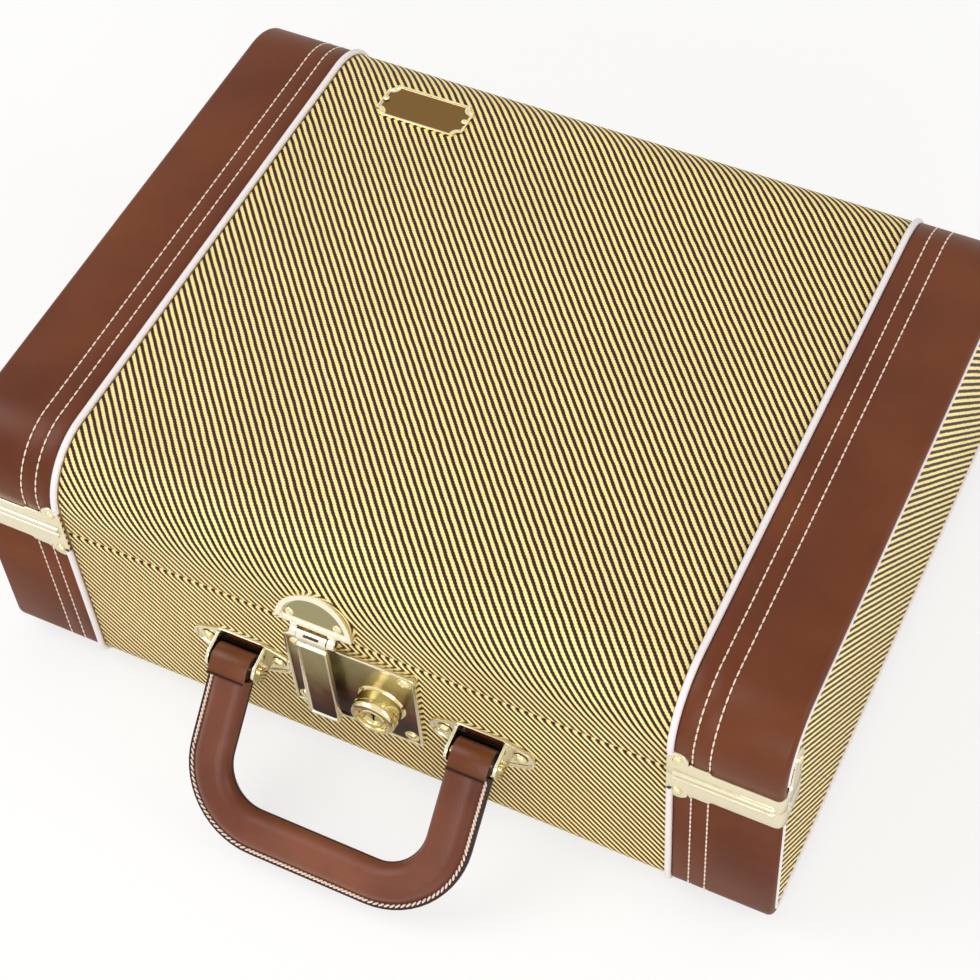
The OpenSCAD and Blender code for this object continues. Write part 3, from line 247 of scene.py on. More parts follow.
softbox("key_lamp", (-1.3, -0.5, 1.9), (1.4, 1.4), 22)
softbox("front_lamp", (0.7, -2.0, 1.1), (1.6, 0.9), 17)
softbox("side_lamp", (2.0, 0.2, 1.2), (1.0, 1.4), 12)

floor_mesh = bpy.data.meshes.new("floor")
bm = bmesh.new()
bmesh.ops.create_grid(bm, x_segments=1, y_segments=1, size=6)
bmesh.ops.translate(bm, verts=bm.verts, vec=(0, 0, cad_low.z))
bm.to_mesh(floor_mesh)
bm.free()
floor = bpy.data.objects.new("floor", floor_mesh)
bpy.context.scene.collection.objects.link(floor)
floor_paint, tree, shader = material("white_floor_paint", Base_Color=linear("FAFAFA"),
                                     Roughness=0.9)
seen = seen_by(tree, "Is Camera Ray", "Is Transmission Ray")
glow = add(tree, "ShaderNodeEmission", {"Color": linear("FFFFFF"), "Strength": 1.0})
both = add(tree, "ShaderNodeMixShader", {0: sums(tree, "MULTIPLY", seen, 0.72),
                                         1: shader.outputs[0], 2: glow.outputs[0]})
tree.links.new(both.outputs[0], tree.nodes["Material Output"].inputs["Surface"])
floor_mesh.materials.append(floor_paint)

# %% [markdown]
# ## Helpers for pieces
# Each piece is built in a bmesh and handed over here. The function stores the mesh at the
# origin, sets smooth shading that breaks at sharp edges, and says which body the piece rides
# on and which nodes of the frame it stands for.

# %% Helpers for pieces
def piece(name, bm, finish, body, stands_for=(), crease=35, outward=True):
    """Makes a finished object from a bmesh and puts it on its body."""
    bmesh.ops.remove_doubles(bm, verts=bm.verts, dist=1e-6)
    if outward:
        bmesh.ops.recalc_face_normals(bm, faces=bm.faces)
    mesh = bpy.data.meshes.new(name)
    bm.to_mesh(mesh)
    bm.free()
    mesh.materials.append(finish)
    mesh.shade_smooth()
    mesh.set_sharp_from_angle(angle=math.radians(crease))
    made = bpy.data.objects.new(name, mesh)
    bpy.context.scene.collection.objects.link(made)
    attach(made, body)
    if stands_for:
        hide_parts(*stands_for)
    return made


def thicken(made, name, thickness):
    """Gives a surface its thickness inwards."""
    thick = made.modifiers.new(name, "SOLIDIFY")
    thick.thickness, thick.offset = thickness, -1


def chain(bm, points, closed=False):
    """A row of edges through the given points."""
    verts = [bm.verts.new(p) for p in points]
    ends = verts[1:] + verts[:1] if closed else verts[1:]
    return [bm.edges.new(pair) for pair in zip(verts, ends)]


def only(found, kind):
    """The elements of one kind in an operator's result."""
    return [e for e in found if isinstance(e, kind)]


def pull(bm, edges, vec):
    """Extrudes edges along a vector and returns the new edges."""
    new = bmesh.ops.extrude_edge_only(bm, edges=edges)["geom"]
    bmesh.ops.translate(bm, verts=only(new, bmesh.types.BMVert), vec=vec)
    return only(new, bmesh.types.BMEdge)


def sweep(bm, edges, centre, axis, degrees, steps):
    """Spins edges round an axis and returns the last edges."""
    verts = list({v for e in edges for v in e.verts})
    made = bmesh.ops.spin(bm, geom=verts + edges, cent=centre, axis=axis,
                          angle=math.radians(degrees), steps=steps, use_merge=False)
    return only(made["geom_last"], bmesh.types.BMEdge)


def soften(bm, edges, width, segments=2):
    """Rounds edges."""
    bmesh.ops.bevel(bm, geom=edges, offset=width, segments=segments, profile=0.5,
                    affect="EDGES", material=-1, clamp_overlap=True)


def corners(bm, degrees=40):
    """The edges where two faces meet at more than the given angle."""
    return [e for e in bm.edges if len(e.link_faces) == 2
            and e.calc_face_angle(0) > math.radians(degrees)]


def join(target, source, *matrices):
    """Adds copies of a small mesh at the given places, or one where it is, then frees it."""
    small = bpy.data.meshes.new("small")
    source.to_mesh(small)
    source.free()
    for matrix in matrices or (Matrix.Identity(4),):
        before = len(target.verts)
        target.from_mesh(small)
        target.verts.ensure_lookup_table()
        bmesh.ops.transform(target, matrix=matrix, verts=target.verts[before:])
    bpy.data.meshes.remove(small)


def copies(source, *matrices):
    """A new mesh made of copies of a small one."""
    bm = bmesh.new()
    join(bm, source, *matrices)
    return bm


def cut(bm, point, normal):
    """Adds edges where a plane crosses a mesh."""
    bmesh.ops.bisect_plane(bm, geom=bm.verts[:] + bm.edges[:] + bm.faces[:], plane_co=point,
                           plane_no=normal)


def move(bm, matrix):
    """Moves a whole mesh."""
    bmesh.ops.transform(bm, verts=bm.verts, matrix=matrix)

# %% [markdown]
# ## The outline of the case
# Seen from its end, the case is a rectangle with large upper and smaller lower rounded edges.
# Everything that wraps round it, cloth, leather and piping, is one cross-section that travels
# along this outline. Two operators do that: an extrusion along each flat side, and a spin
# round the centre of each rounded edge. The points of a section keep their distance from the
# surface all the way, because a spin draws parallel arcs.

# %% The outline of the case
leather_low, leather_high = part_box("base_leather_bands")
lid_low, lid_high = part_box("lid_leather_bands")
end_x = leather_high.x
front_y, rear_y = leather_low.y, leather_high.y
ground_z, seam_low, seam_high, top_z = leather_low.z, leather_high.z, lid_low.z, lid_high.z
top_r, bottom_r = 34 * mm, 14 * mm
leather_t = leather_high.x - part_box("base_shell")[1].x
cloth_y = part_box("base_tweed_cover")[0].y
cloth_sink = cloth_y - front_y
depth = rear_y - front_y
centre_y = (front_y + rear_y) / 2
x_axis = Vector((1, 0, 0))


def half_case(lid):
    """The way from the seam, the radius, the level where it begins, and the seam's height."""
    if lid:
        return 1, top_r, top_z - top_r, seam_high
    return -1, bottom_r, ground_z + bottom_r, seam_low


def follow_case(bm, section, lid):
    """Moves the edges of a section, drawn at the front of the seam, round the lid or the base."""
    way, radius, level, _ = half_case(lid)
    steps = 14 if lid else 8
    start = section[0].verts[0].co.z
    edges = pull(bm, section, (0, 0, level - start))
    edges = sweep(bm, edges, (0, front_y + radius, level), x_axis, -way * 90, steps)
    edges = pull(bm, edges, (0, depth - 2 * radius, 0))
    edges = sweep(bm, edges, (0, rear_y - radius, level), x_axis, -way * 90, steps)
    pull(bm, edges, (0, 0, start - level))


def along_case(y, z, lid):
    """The distance from the front of the seam to a point, measured along the leather."""
    way, radius, level, start = half_case(lid)
    rise = way * (level - start)
    arc = radius * math.pi / 2
    if (z - level) * way <= 0:
        return way * (z - start) if y < centre_y else (
            2 * rise + 2 * arc + depth - 2 * radius - way * (z - start))
    if y < front_y + radius:
        return rise + radius * math.atan2(way * (z - level), front_y + radius - y)
    if y > rear_y - radius:
        return rise + arc + depth - 2 * radius + radius * math.atan2(
            y - rear_y + radius, way * (z - level))
    return rise + arc + y - front_y - radius


def round_case(distance, inset, lid):
    """The point at a distance along the outline and the direction outwards there."""
    way, radius, level, start = half_case(lid)
    rise, arc, flat = way * (level - start), radius * math.pi / 2, depth - 2 * radius
    if distance < rise:
        angle, centre = 0, (front_y + radius, start + way * distance)
    elif distance < rise + arc:
        angle, centre = (distance - rise) / radius, (front_y + radius, level)
    elif distance < rise + arc + flat:
        angle, centre = math.pi / 2, (front_y + radius + distance - rise - arc, level)
    elif distance < rise + 2 * arc + flat:
        angle, centre = math.pi / 2 + (distance - rise - arc - flat) / radius, (
            rear_y - radius, level)
    else:
        angle, centre = math.pi, (rear_y - radius, level - way * (
            distance - rise - 2 * arc - flat))
    out = Vector((0, -math.cos(angle), way * math.sin(angle)))
    return Vector((0, *centre)) + out * (radius - inset), out


def case_length(lid):
    """The length of the outline from seam to seam."""
    way, radius, level, start = half_case(lid)
    return 2 * way * (level - start) + math.pi * radius + depth - 2 * radius


print("outline of the lid:", round(case_length(True) * 1000), "mm")

# %% [markdown]
# ## Tweed
# The cloth of such cases is a coarse twill of dark brown and straw yarn under a thin lacquer.
# Each yarn floats over a few others and then dives, one step later in each row, and the floats
# line up in steep diagonal ribs. Counting yarns in the shader gives stairs that shimmer at a
# distance, so the ribs are drawn first, as one smooth wave across the cloth, and the single
# yarns only ripple their edges and crowns. The pitch of a rib is four yarns each way.

# %% Tweed
column_pitch, row_pitch = 1.15 * mm, 1.31 * mm
rib_columns, rib_rows = 4 * column_pitch, 4 * row_pitch
straw, straw_shade, brown, brown_light = "FFEBA9", "D8B66E", "2B1B05", "634414"


def woven_tweed(name, where):
    """Twill cloth. The function where gives the two sockets that say the place on the cloth."""
    made, tree, shader = material(name, Roughness=0.6, Specular_IOR_Level=0.25)
    across, along = where(tree)
    yarn = sums(tree, "SINE", sums(tree, "MULTIPLY", along, 2 * math.pi / row_pitch))
    rib = sums(tree, "ADD", sums(tree, "DIVIDE", across, rib_columns),
               sums(tree, "DIVIDE", along, rib_rows))
    wander = sums(tree, "MULTIPLY_ADD", noise(tree, 7 * mm, 3.0), 0.22, -0.11)
    rib = sums(tree, "ADD", rib, wander)
    rib = sums(tree, "ADD", rib, sums(tree, "MULTIPLY", yarn, 0.035))
    wave = sums(tree, "SINE", sums(tree, "MULTIPLY", rib, 2 * math.pi))
    yarns = ramp(tree, sums(tree, "MULTIPLY_ADD", wave, 0.5, 0.5), (0.0, brown), (0.3, brown),
                 (0.42, brown_light), (0.52, straw_shade), (0.68, straw), (1.0, straw))
    fuzz = sums(tree, "MULTIPLY_ADD", noise(tree, 40 * mm, 5.0), 0.24, 0.88)
    dimmed = add(tree, "ShaderNodeVectorMath", {0: yarns, "Scale": fuzz}, operation="SCALE")
    tree.links.new(dimmed.outputs[0], shader.inputs["Base Color"])
    crown = sums(tree, "ABSOLUTE", wave)
    height = sums(tree, "MULTIPLY_ADD", yarn, 0.12, sums(tree, "SQRT", crown))
    relief(tree, shader, height, 0.16 * mm, 0.8)
    return made


def on_wrap(tree):
    """The place on cloth that wraps round the case, from the piece's own map."""
    split = add(tree, "ShaderNodeSeparateXYZ", {0: add(tree, "ShaderNodeUVMap", uv_map="cloth")
                                                .outputs[0]})
    return split.outputs["X"], split.outputs["Y"]


def on_end(tree):
    """The place on the flat cloth of an end: along the depth and up."""
    split = add(tree, "ShaderNodeSeparateXYZ", {0: place(tree)})
    return split.outputs["Y"], split.outputs["Z"]


tweed = woven_tweed("lacquered_tweed", on_wrap)
end_tweed = woven_tweed("lacquered_tweed_on_the_ends", on_end)

# %% [markdown]
# ## Leather, piping and thread
# The bands are smooth chrome-tanned leather with a thin finish: brown, slightly uneven, with
# a fine grain that shows only as a broken highlight. The piping is white vinyl round a cord,
# and the thread is waxed cotton, cream with a touch of pink.

# %% Leather, piping and thread
def finished_leather(name, deep, clear, gloss=0.4):
    """Smooth grain leather between two browns."""
    made, tree, shader = material(name, Roughness=gloss, Specular_IOR_Level=0.24)
    clouds = noise(tree, 60 * mm, 5.0)
    paint(tree, shader, clouds, (0.32, deep), (0.7, clear))
    pores = add(tree, "ShaderNodeTexVoronoi", {"Vector": place(tree), "Scale": 1 / (1.1 * mm)},
                feature="DISTANCE_TO_EDGE").outputs["Distance"]
    grain = sums(tree, "MINIMUM", sums(tree, "MULTIPLY", pores, 3.0), 1.0)
    tree.links.new(sums(tree, "MULTIPLY_ADD", clouds, 0.16, gloss - 0.08),
                   shader.inputs["Roughness"])
    relief(tree, shader, grain, 0.035 * mm)
    return made


case_leather = finished_leather("brown_grain_leather", "5A280F", "6E3819")
handle_leather = finished_leather("tan_handle_leather", "5F3021", "7F4B37", 0.34)
# The handle's end loops get a darker, more orange copy of the handle leather: a painted reflection
# of the brass cheeks beside them.
loop_leather_painted_reflection = finished_leather("loop_leather_painted_brass_reflection", "5C2F1A", "7C4828", 0.3)
welt_leather = finished_leather("dark_edge_leather", "2A1510", "3A1E16", 0.45)
vinyl = plain("white_vinyl_cord", "F1EBEE", 6 * mm, 0.15 * mm, Roughness=0.34)
thread = plain("waxed_cotton_thread", "F0DACB", 0.6 * mm, 0.05 * mm, Roughness=0.7)

# %% [markdown]
# ## The tweed cover
# The cover starts as one straight edge along the seam and follows the case. Each face then
# gets its place on the cloth: across the case, and along the outline, so that the diagonals
# run over the rounded edge without a break. At the seam the cloth turns in over the edge of
# the wood: a few cuts near the seam are moved inwards. Solidify makes the cloth's thickness.

# %% The tweed cover
def wrap_cover(name, lid, body, node):
    """The tweed of the lid or the base."""
    low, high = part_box(node)
    way, _, _, seam = half_case(lid)
    bm = bmesh.new()
    turned_in = 0.7 * mm
    section = chain(bm, [(low.x, cloth_y + turned_in, seam), (low.x + turned_in, cloth_y, seam),
                         (high.x - turned_in, cloth_y, seam), (high.x, cloth_y + turned_in, seam)])
    follow_case(bm, section, lid)
    for rise, inset in ((2 * mm, 0), (1 * mm, 0.25 * mm), (0.4 * mm, 0.7 * mm), (0, 1.3 * mm)):
        level = seam + way * rise
        if rise:
            cut(bm, (0, 0, level), (0, 0, 1))
        for vert in bm.verts:
            if abs(vert.co.z - level) < 1e-6 and inset:
                vert.co.y += inset if vert.co.y < centre_y else -inset
    layer = bm.loops.layers.uv.new("cloth")
    for face in bm.faces:
        middle = face.calc_center_median()
        for loop in face.loops:
            point = loop.vert.co.lerp(middle, 0.001)
            loop[layer].uv = (loop.vert.co.x, way * along_case(point.y, point.z, lid))
    thicken(piece(name, bm, tweed, body, [node], crease=50), "cloth_thickness", 0.9 * mm)


wrap_cover("lid_tweed", True, "lid", "lid_tweed_cover")
wrap_cover("base_tweed", False, "base", "base_tweed_cover")
refinish(end_tweed, "lid_end_panels", "base_end_panels")

# %% [markdown]
# ## The leather bands
# A band is skived thin where it meets the piping, lies flat, and turns over the case's end
# with a soft radius. Its section therefore has a small lip, a long flat and a rounded corner,
# and it follows the case like the cloth. Two rows of stitches hold it to the wood. A stitch is
# a short fat bead with its ends pulled into the leather, repeated along the outline.

# %% The leather bands
band_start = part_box("base_tweed_cover")[1].x + 3.6 * mm
corner_r = 3.2 * mm
fold_end = 4 * mm
stitch_rows = (9 * mm, 17.5 * mm)
stitch_pitch, stitch_len, stitch_w = 4.4 * mm, 4.15 * mm, 1 * mm


def band_section(bm, side, seam):
    """The cross-section of a band, from the piping to the fold on the end."""
    points = [(band_start - 0.4 * mm, 1.5 * mm), (band_start - 0.1 * mm, 0.5 * mm),
              (band_start + 0.9 * mm, 0)]
    for row in stitch_rows:
        at = band_start + row
        points += [(at - 1.6 * mm, 0), (at - 0.5 * mm, 0.32 * mm), (at + 0.5 * mm, 0.32 * mm),
                   (at + 1.6 * mm, 0)]
    for i in range(7):
        angle = math.radians(90 * i / 6)
        points.append((end_x - corner_r * (1 - math.sin(angle)), corner_r * (1 - math.cos(angle))))
    points += [(end_x, fold_end - 0.4 * mm), (end_x - 0.5 * mm, fold_end)]
    return chain(bm, [(side * x, front_y + inset, seam) for x, inset in points])


def bands(name, lid, body, node):
    """Both leather bands of the lid or the base."""
    bm = bmesh.new()
    for side in (-1, 1):
        follow_case(bm, band_section(bm, side, half_case(lid)[3]), lid)
    thicken(piece(name, bm, case_leather, body, [node], crease=60),
            "leather_thickness", 1.2 * mm)


def one_stitch():
    """A stitch along +Y with its back on the XY plane."""
    bm = bmesh.new()
    bmesh.ops.create_uvsphere(bm, u_segments=6, v_segments=6, radius=0.5)
    move(bm, Matrix.Diagonal((stitch_w, stitch_w * 0.7, stitch_len, 1)))
    bmesh.ops.rotate(bm, verts=bm.verts, matrix=Matrix.Rotation(math.radians(90), 3, "X"))
    return bm


def stitches(name, lid, body):
    """The rows of stitches in the bands of the lid or the base."""
    length = case_length(lid)
    count = round(length / stitch_pitch)
    places = []
    for i in range(count):
        point, out = round_case((i + 0.5) * length / count, 0.12 * mm, lid)
        for side in (-1, 1):
            for row in stitch_rows:
                turn = Matrix((x_axis, x_axis.cross(out) * -1, out)).transposed().to_4x4()
                at = Vector((side * (band_start + row), point.y, point.z))
                places.append(Matrix.Translation(at) @ turn)
    piece(name, copies(one_stitch(), *places), thread, body, crease=80)


bands("lid_bands", True, "lid", "lid_leather_bands")
bands("base_bands", False, "base", "base_leather_bands")
stitches("lid_stitches", True, "lid")
stitches("base_stitches", False, "base")

# %% [markdown]
# ## The piping
# Thick cord between tweed and leather, thin cord round each end panel. Both are a circle of
# edges that follows the case. The frame leaves them out where a corner guard covers them, so
# the pieces here start at the same heights, read from the frame. On the lid that height is
# 2 mm above the start of the bend, so the lid's cords first run down to it.

# %% The piping
def cord_circle(bm, x, inset, radius, seam, sides=10):
    """A circle of edges in the plane of the seam."""
    return chain(bm, [(x + radius * math.cos(a), front_y + inset - radius * math.sin(a), seam)
                      for a in (2 * math.pi * i / sides for i in range(sides))], closed=True)


def piping(name, lid, body, node):
    """All cords of the lid or the base."""
    bm = bmesh.new()
    low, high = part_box(node)
    start = low.z if lid else high.z
    thick_r, thin_r = 1.8 * mm, 1.2 * mm
    for side in (-1, 1):
        follow_case(bm, cord_circle(bm, side * (band_start - 1.8 * mm), leather_t - thick_r,
                                    thick_r, start), lid)
        follow_case(bm, cord_circle(bm, side * (end_x - leather_t + thin_r), fold_end + thin_r,
                                    thin_r, start), lid)
    piece(name, bm, vinyl, body, [node], crease=60)


piping("lid_cords", True, "lid", "lid_piping")
piping("base_cords", False, "base", "base_piping")

# %% [markdown]
# ## Brass
# The hardware is thin brass-plated steel and turned brass, polished and lacquered: a pale
# gold metal. Pressed sheet keeps a slightly wavy surface, which breaks its reflections, and
# handling leaves small differences in gloss. A metal keeps the default index of refraction.

# %% Brass
def polished_metal(name, colour, gloss, wave=0.05):
    """A polished metal with an uneven gloss and faint waves."""
    made, tree, shader = material(name, Base_Color=linear(colour), Metallic=1.0, Roughness=gloss)
    smears = noise(tree, 5 * mm, 4.0)
    tree.links.new(sums(tree, "MULTIPLY_ADD", smears, 0.2, gloss - 0.08),
                   shader.inputs["Roughness"])
    relief(tree, shader, noise(tree, 9 * mm), wave * mm)
    return made


sheet_brass = polished_metal("pressed_brass_sheet", "E8E0C4", 0.15, 0.16)
turned_brass = polished_metal("turned_brass", "EDDFB0", 0.12, 0.07)
bronze = polished_metal("dark_bronze", "7C5E35", 0.3, 0.2)
steel = polished_metal("bright_steel", "C9C8C2", 0.22)

# %% [markdown]
# ## Flat plates, turned parts and places for them
# Pressed hardware starts as an outline: one face, extruded to the sheet's thickness, with its
# edges rounded so that they catch the light. Screws, rivets and the lock are turned parts: a
# profile spun round an axis. Both are made lying flat and then set on the case by a matrix.

# %% Plates and turned parts
def arc(x, y, radius, start, end, steps=8):
    """Points on an arc, in degrees."""
    angles = [math.radians(start + (end - start) * i / steps) for i in range(steps + 1)]
    return [(x + radius * math.cos(a), y + radius * math.sin(a)) for a in angles]


def rounded(width, height, radius, steps=6):
    """A rectangle with rounded corners."""
    points = []
    for sx, sy, start in ((1, -1, 270), (1, 1, 0), (-1, 1, 90), (-1, -1, 180)):
        points += arc(sx * (width / 2 - radius), sy * (height / 2 - radius), radius, start,
                      start + 90, steps)
    return points


def slab(outline, thickness, edge=0.3 * mm, at=0.0):
    """A plate from an outline in the XY plane, with its front edges rounded."""
    bm = bmesh.new()
    face = bm.faces.new([bm.verts.new((x, y, at)) for x, y in outline])
    if face.calc_area() and face.normal.z < 0:
        bmesh.ops.reverse_faces(bm, faces=[face])
    made = bmesh.ops.extrude_face_region(bm, geom=[face], use_keep_orig=True)["geom"]
    bmesh.ops.translate(bm, verts=only(made, bmesh.types.BMVert), vec=(0, 0, thickness))
    bmesh.ops.recalc_face_normals(bm, faces=bm.faces)
    if edge:
        rim = [e for e in bm.edges if all(v.co.z > at + thickness * 0.9 for v in e.verts)]
        soften(bm, rim, edge)
    return bm


def window_frame(width, height, radius, border, thickness, edge):
    """A frame round a window, lying on the XY plane, with its front edges rounded."""
    bm = bmesh.new()
    inner = (width - 2 * border, height - 2 * border, max(radius - border, 0.8 * mm))
    for outline in (rounded(width, height, radius), rounded(*inner)):
        chain(bm, [(x, y, 0) for x, y in outline], closed=True)
    bmesh.ops.bridge_loops(bm, edges=bm.edges)
    made = bmesh.ops.extrude_face_region(bm, geom=bm.faces[:], use_keep_orig=True)["geom"]
    bmesh.ops.translate(bm, verts=only(made, bmesh.types.BMVert), vec=(0, 0, thickness))
    bmesh.ops.recalc_face_normals(bm, faces=bm.faces)
    soften(bm, [e for e in corners(bm) if min(v.co.z for v in e.verts) > thickness * 0.9], edge, 3)
    return bm


def turned(profile, sides=24):
    """A solid of revolution round Z from pairs of radius and height."""
    bm = bmesh.new()
    edges = chain(bm, [(r, 0, z) for r, z in profile])
    bmesh.ops.spin(bm, geom=bm.verts[:] + edges, cent=(0, 0, 0), axis=(0, 0, 1),
                   angle=2 * math.pi, steps=sides, use_merge=True)
    bmesh.ops.remove_doubles(bm, verts=bm.verts, dist=1e-6)
    return bm


def box_block(low, high, edge=0.3 * mm):
    """A block between two corners with rounded edges."""
    bm = bmesh.new()
    bmesh.ops.create_cube(bm, size=1)
    size = Vector(high) - Vector(low)
    bmesh.ops.transform(bm, verts=bm.verts, matrix=Matrix.Translation(
        (Vector(high) + Vector(low)) / 2) @ Matrix.Diagonal((*size, 1)))
    if edge:
        soften(bm, bm.edges[:], edge)
    return bm


def on_front(x, y, z):
    """Turns a part that lies flat so that its top faces the front."""
    return Matrix.Translation((x, y, z)) @ Matrix.Rotation(math.pi / 2, 4, "X")


def on_rear(x, y, z):
    """Turns a part that lies flat so that its top faces the back."""
    return Matrix.Translation((x, y, z)) @ Matrix.Rotation(-math.pi / 2, 4, "X")


def on_side(x, y, z, side=1):
    """Turns a part that lies flat so that its top faces the right or, with -1, the left."""
    return Matrix.Translation((x, y, z)) @ Matrix.Rotation(side * math.pi / 2, 4, "Y")


def slotted_head(radius=3.2 * mm, height=1.7 * mm, ring=True):
    """A domed screw head with a slot and a turned ring under it."""
    rim = [(radius + 0.9 * mm, 0), (radius + 0.8 * mm, 0.35 * mm)] if ring else []
    dome = [(radius * math.cos(a), 0.35 * mm + (height - 0.35 * mm) * math.sin(a))
            for a in (math.radians(15 * i) for i in range(7))]
    bm = turned([(0, 0)] + rim + dome[:-1] + [(0, height)])
    for side in (-1, 1):
        cut(bm, (0, side * 0.38 * mm, 0), (0, 1, 0))
    slot = [f for f in bm.faces if abs(f.calc_center_median().y) < 0.37 * mm
            and f.calc_center_median().z > 0.5 * mm]
    made = bmesh.ops.extrude_face_region(bm, geom=slot)["geom"]
    for vert in only(made, bmesh.types.BMVert):
        vert.co.z = max(vert.co.z - 0.7 * mm, 0.45 * mm)
    return bm


def rivet_head(radius=2.9 * mm, height=1.5 * mm):
    """A domed rivet head with a small flat brim."""
    dome = [(radius * 0.86 * math.cos(a), 0.25 * mm + (height - 0.25 * mm) * math.sin(a))
            for a in (math.radians(18 * i) for i in range(5))]
    return turned([(0, 0), (radius, 0), (radius, 0.25 * mm)] + dome + [(0, height)], 20)

# %% [markdown]
# ## Corner guards
# A guard is one strip of sheet bent round the corner of the case. It is easiest to draw flat:
# along the front, past the corner and along the end. The drawing is extruded, cut where it
# will bend, and its points are then wound round the corner. The lid's guard has an upright
# leg on the end of the case, and each guard has a raised bead along the seam.

# %% Corner guards
rivet_low, rivet_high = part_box("base_rivets")
guard_t = front_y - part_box("lid_corner_guards")[0].y
ear_r, rivet_r = 5.5 * mm, 2.7 * mm
ear_x = rivet_high.x - rivet_r
ear_rise = seam_low - (rivet_low.z + rivet_r)
guard_wrap = 20 * mm
leg_y, leg_rise = 15 * mm, 27 * mm
bend_start = end_x - corner_r
bend_len = corner_r * math.pi / 2


def guard_outline(strip, leg):
    """A guard drawn flat, from its ear to its end, above the seam edge at zero."""
    turn = bend_start + bend_len
    step = ear_x + 3.1 * ear_r
    points = arc(ear_x, ear_rise, ear_r, 180, -25, 12)
    points += arc(ear_x + ear_r + 2.6 * mm, strip + 3.4 * mm, 1.6 * mm, 180, 270, 4)
    points += arc(step - 2 * mm, strip + 0.2 * mm, 1.6 * mm, 80, 0, 4)
    points += [(step + 1 * mm, strip)]
    if leg:
        leg_at, leg_top = turn + leg[0] - corner_r, leg[1]
        points += arc(turn - 0.5 * mm, strip + 6 * mm, 6 * mm, 270, 335, 5)
        points += arc(leg_at, leg_top, ear_r, 215, -35, 14)
        points += arc(leg_at + ear_r + 1.5 * mm, strip + 5 * mm, 4 * mm, 180, 270, 5)
    last = turn + guard_wrap - corner_r
    points += arc(last - 1.5 * mm, strip - 1.5 * mm, 1.5 * mm, 90, 0, 3)
    return points + [(last, 0), (ear_x - ear_r, 0)]


def wind(point):
    """Winds a point of the flat guard round the corner of the case."""
    over = point.x - bend_start
    turn = min(max(over / corner_r, 0), math.pi / 2)
    rest = over - turn * corner_r
    reach = corner_r + point.z
    x = bend_start + reach * math.sin(turn) + rest * math.cos(turn)
    y = front_y + corner_r - reach * math.cos(turn) + rest * math.sin(turn)
    return Vector((x, y, point.y))


def guard(strip, leg, bead):
    """One guard at the right front corner, its seam edge at height zero."""
    bm = slab(guard_outline(strip, leg), guard_t, 0.35 * mm)
    for i in range(6):
        cut(bm, (bend_start + bend_len * i / 5, 0, 0), (1, 0, 0))
    ridge = bmesh.new()
    section = chain(ridge, [(ear_x - 2 * mm, bead + y, guard_t - 0.1 * mm + z)
                            for y, z in arc(0, 0, 1.4 * mm, 0, 180, 8)], closed=True)
    lengths = [end_x - corner_r - ear_x - 4 * mm] + [bend_len / 4] * 4 + [8 * mm]
    first = section
    for length in lengths:
        section = pull(ridge, section, (length, 0, 0))
    for ring in (first, section):
        bmesh.ops.edgeloop_fill(ridge, edges=ring)
    join(bm, ridge)
    for vert in bm.verts:
        vert.co = wind(vert.co)
    return bm


def four_corners(source, height, up):
    """Copies of a guard at all four corners. up is -1 where it hangs down from the seam."""
    to_centre = Matrix.Translation((0, centre_y, 0))
    spots = []
    for side in (-1, 1):
        for end in (-1, 1):
            flip = Matrix.Diagonal((side, end, up, 1))
            spots.append(Matrix.Translation((0, 0, height)) @ to_centre @ flip
                         @ to_centre.inverted())
    return copies(source, *spots)


def guards(name, lid, body, node):
    """The four guards of the lid or the base."""
    way, _, _, seam = half_case(lid)
    if lid:
        made = guard(11 * mm, (leg_y, leg_rise), 2.2 * mm)
    else:
        made = guard(13 * mm, None, 1.9 * mm)
    piece(name, four_corners(made, seam, way), sheet_brass, body, [node], crease=32)


guards("lid_guards", True, "lid", "lid_corner_guards")
guards("base_guards", False, "base", "base_corner_guards")

# %% [markdown]
# ## Rivets and screws
# One head is made and copied to every place. The places come from the same few values as the
# guards and plates. The shanks stay hidden in the wood, so only the heads are made.

# %% Rivets and screws
plate_low, plate_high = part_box("lock_plate")
bracket_low, bracket_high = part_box("handle_brackets")
bracket_len = 58 * mm
handle_span = bracket_high.x - bracket_low.x - bracket_len + 1 * mm
bracket_z = (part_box("handle_pins")[0].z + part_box("handle_pins")[1].z) / 2
bracket_face = cloth_y - 1.5 * mm
bracket_screw = bracket_len / 2 - 8.5 * mm
lock_edge = 6 * mm
hinge_len, hinge_t, hinge_screw_rise = 54 * mm, 1.2 * mm, 10.5 * mm
hinge_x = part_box("hinge_base_leaves")[1].x - hinge_len / 2

screws = [on_front(x, plate_low.y, z) @ Matrix.Rotation(0.6 + x * 90, 4, "Z")
          for x in (plate_low.x + lock_edge, plate_high.x - lock_edge)
          for z in (plate_low.z + lock_edge, plate_high.z - lock_edge)]
screws += [on_front(side * handle_span / 2 + i * bracket_screw, bracket_face - 0.4 * mm,
                    bracket_z) @ Matrix.Rotation(0.9 + side * i, 4, "Z")
           for side in (-1, 1) for i in (-1, 1)]
lid_screw_places = []
for side in (-1, 1):
    for i in (-1, 0, 1):
        x = side * hinge_x + i * hinge_len / 3
        for up in (-1, 1):
            spot = on_rear(x, rear_y + hinge_t,
                           (seam_low + seam_high) / 2 + up * hinge_screw_rise)
            (screws if up < 0 else lid_screw_places).append(
                spot @ Matrix.Rotation(0.4 + i, 4, "Z") @ Matrix.Scale(0.8, 4))
for body, places in (("base", screws), ("lid", lid_screw_places)):
    piece(body + "_screw_heads", copies(slotted_head(), *places), turned_brass, body,
          [body + "_screws"])

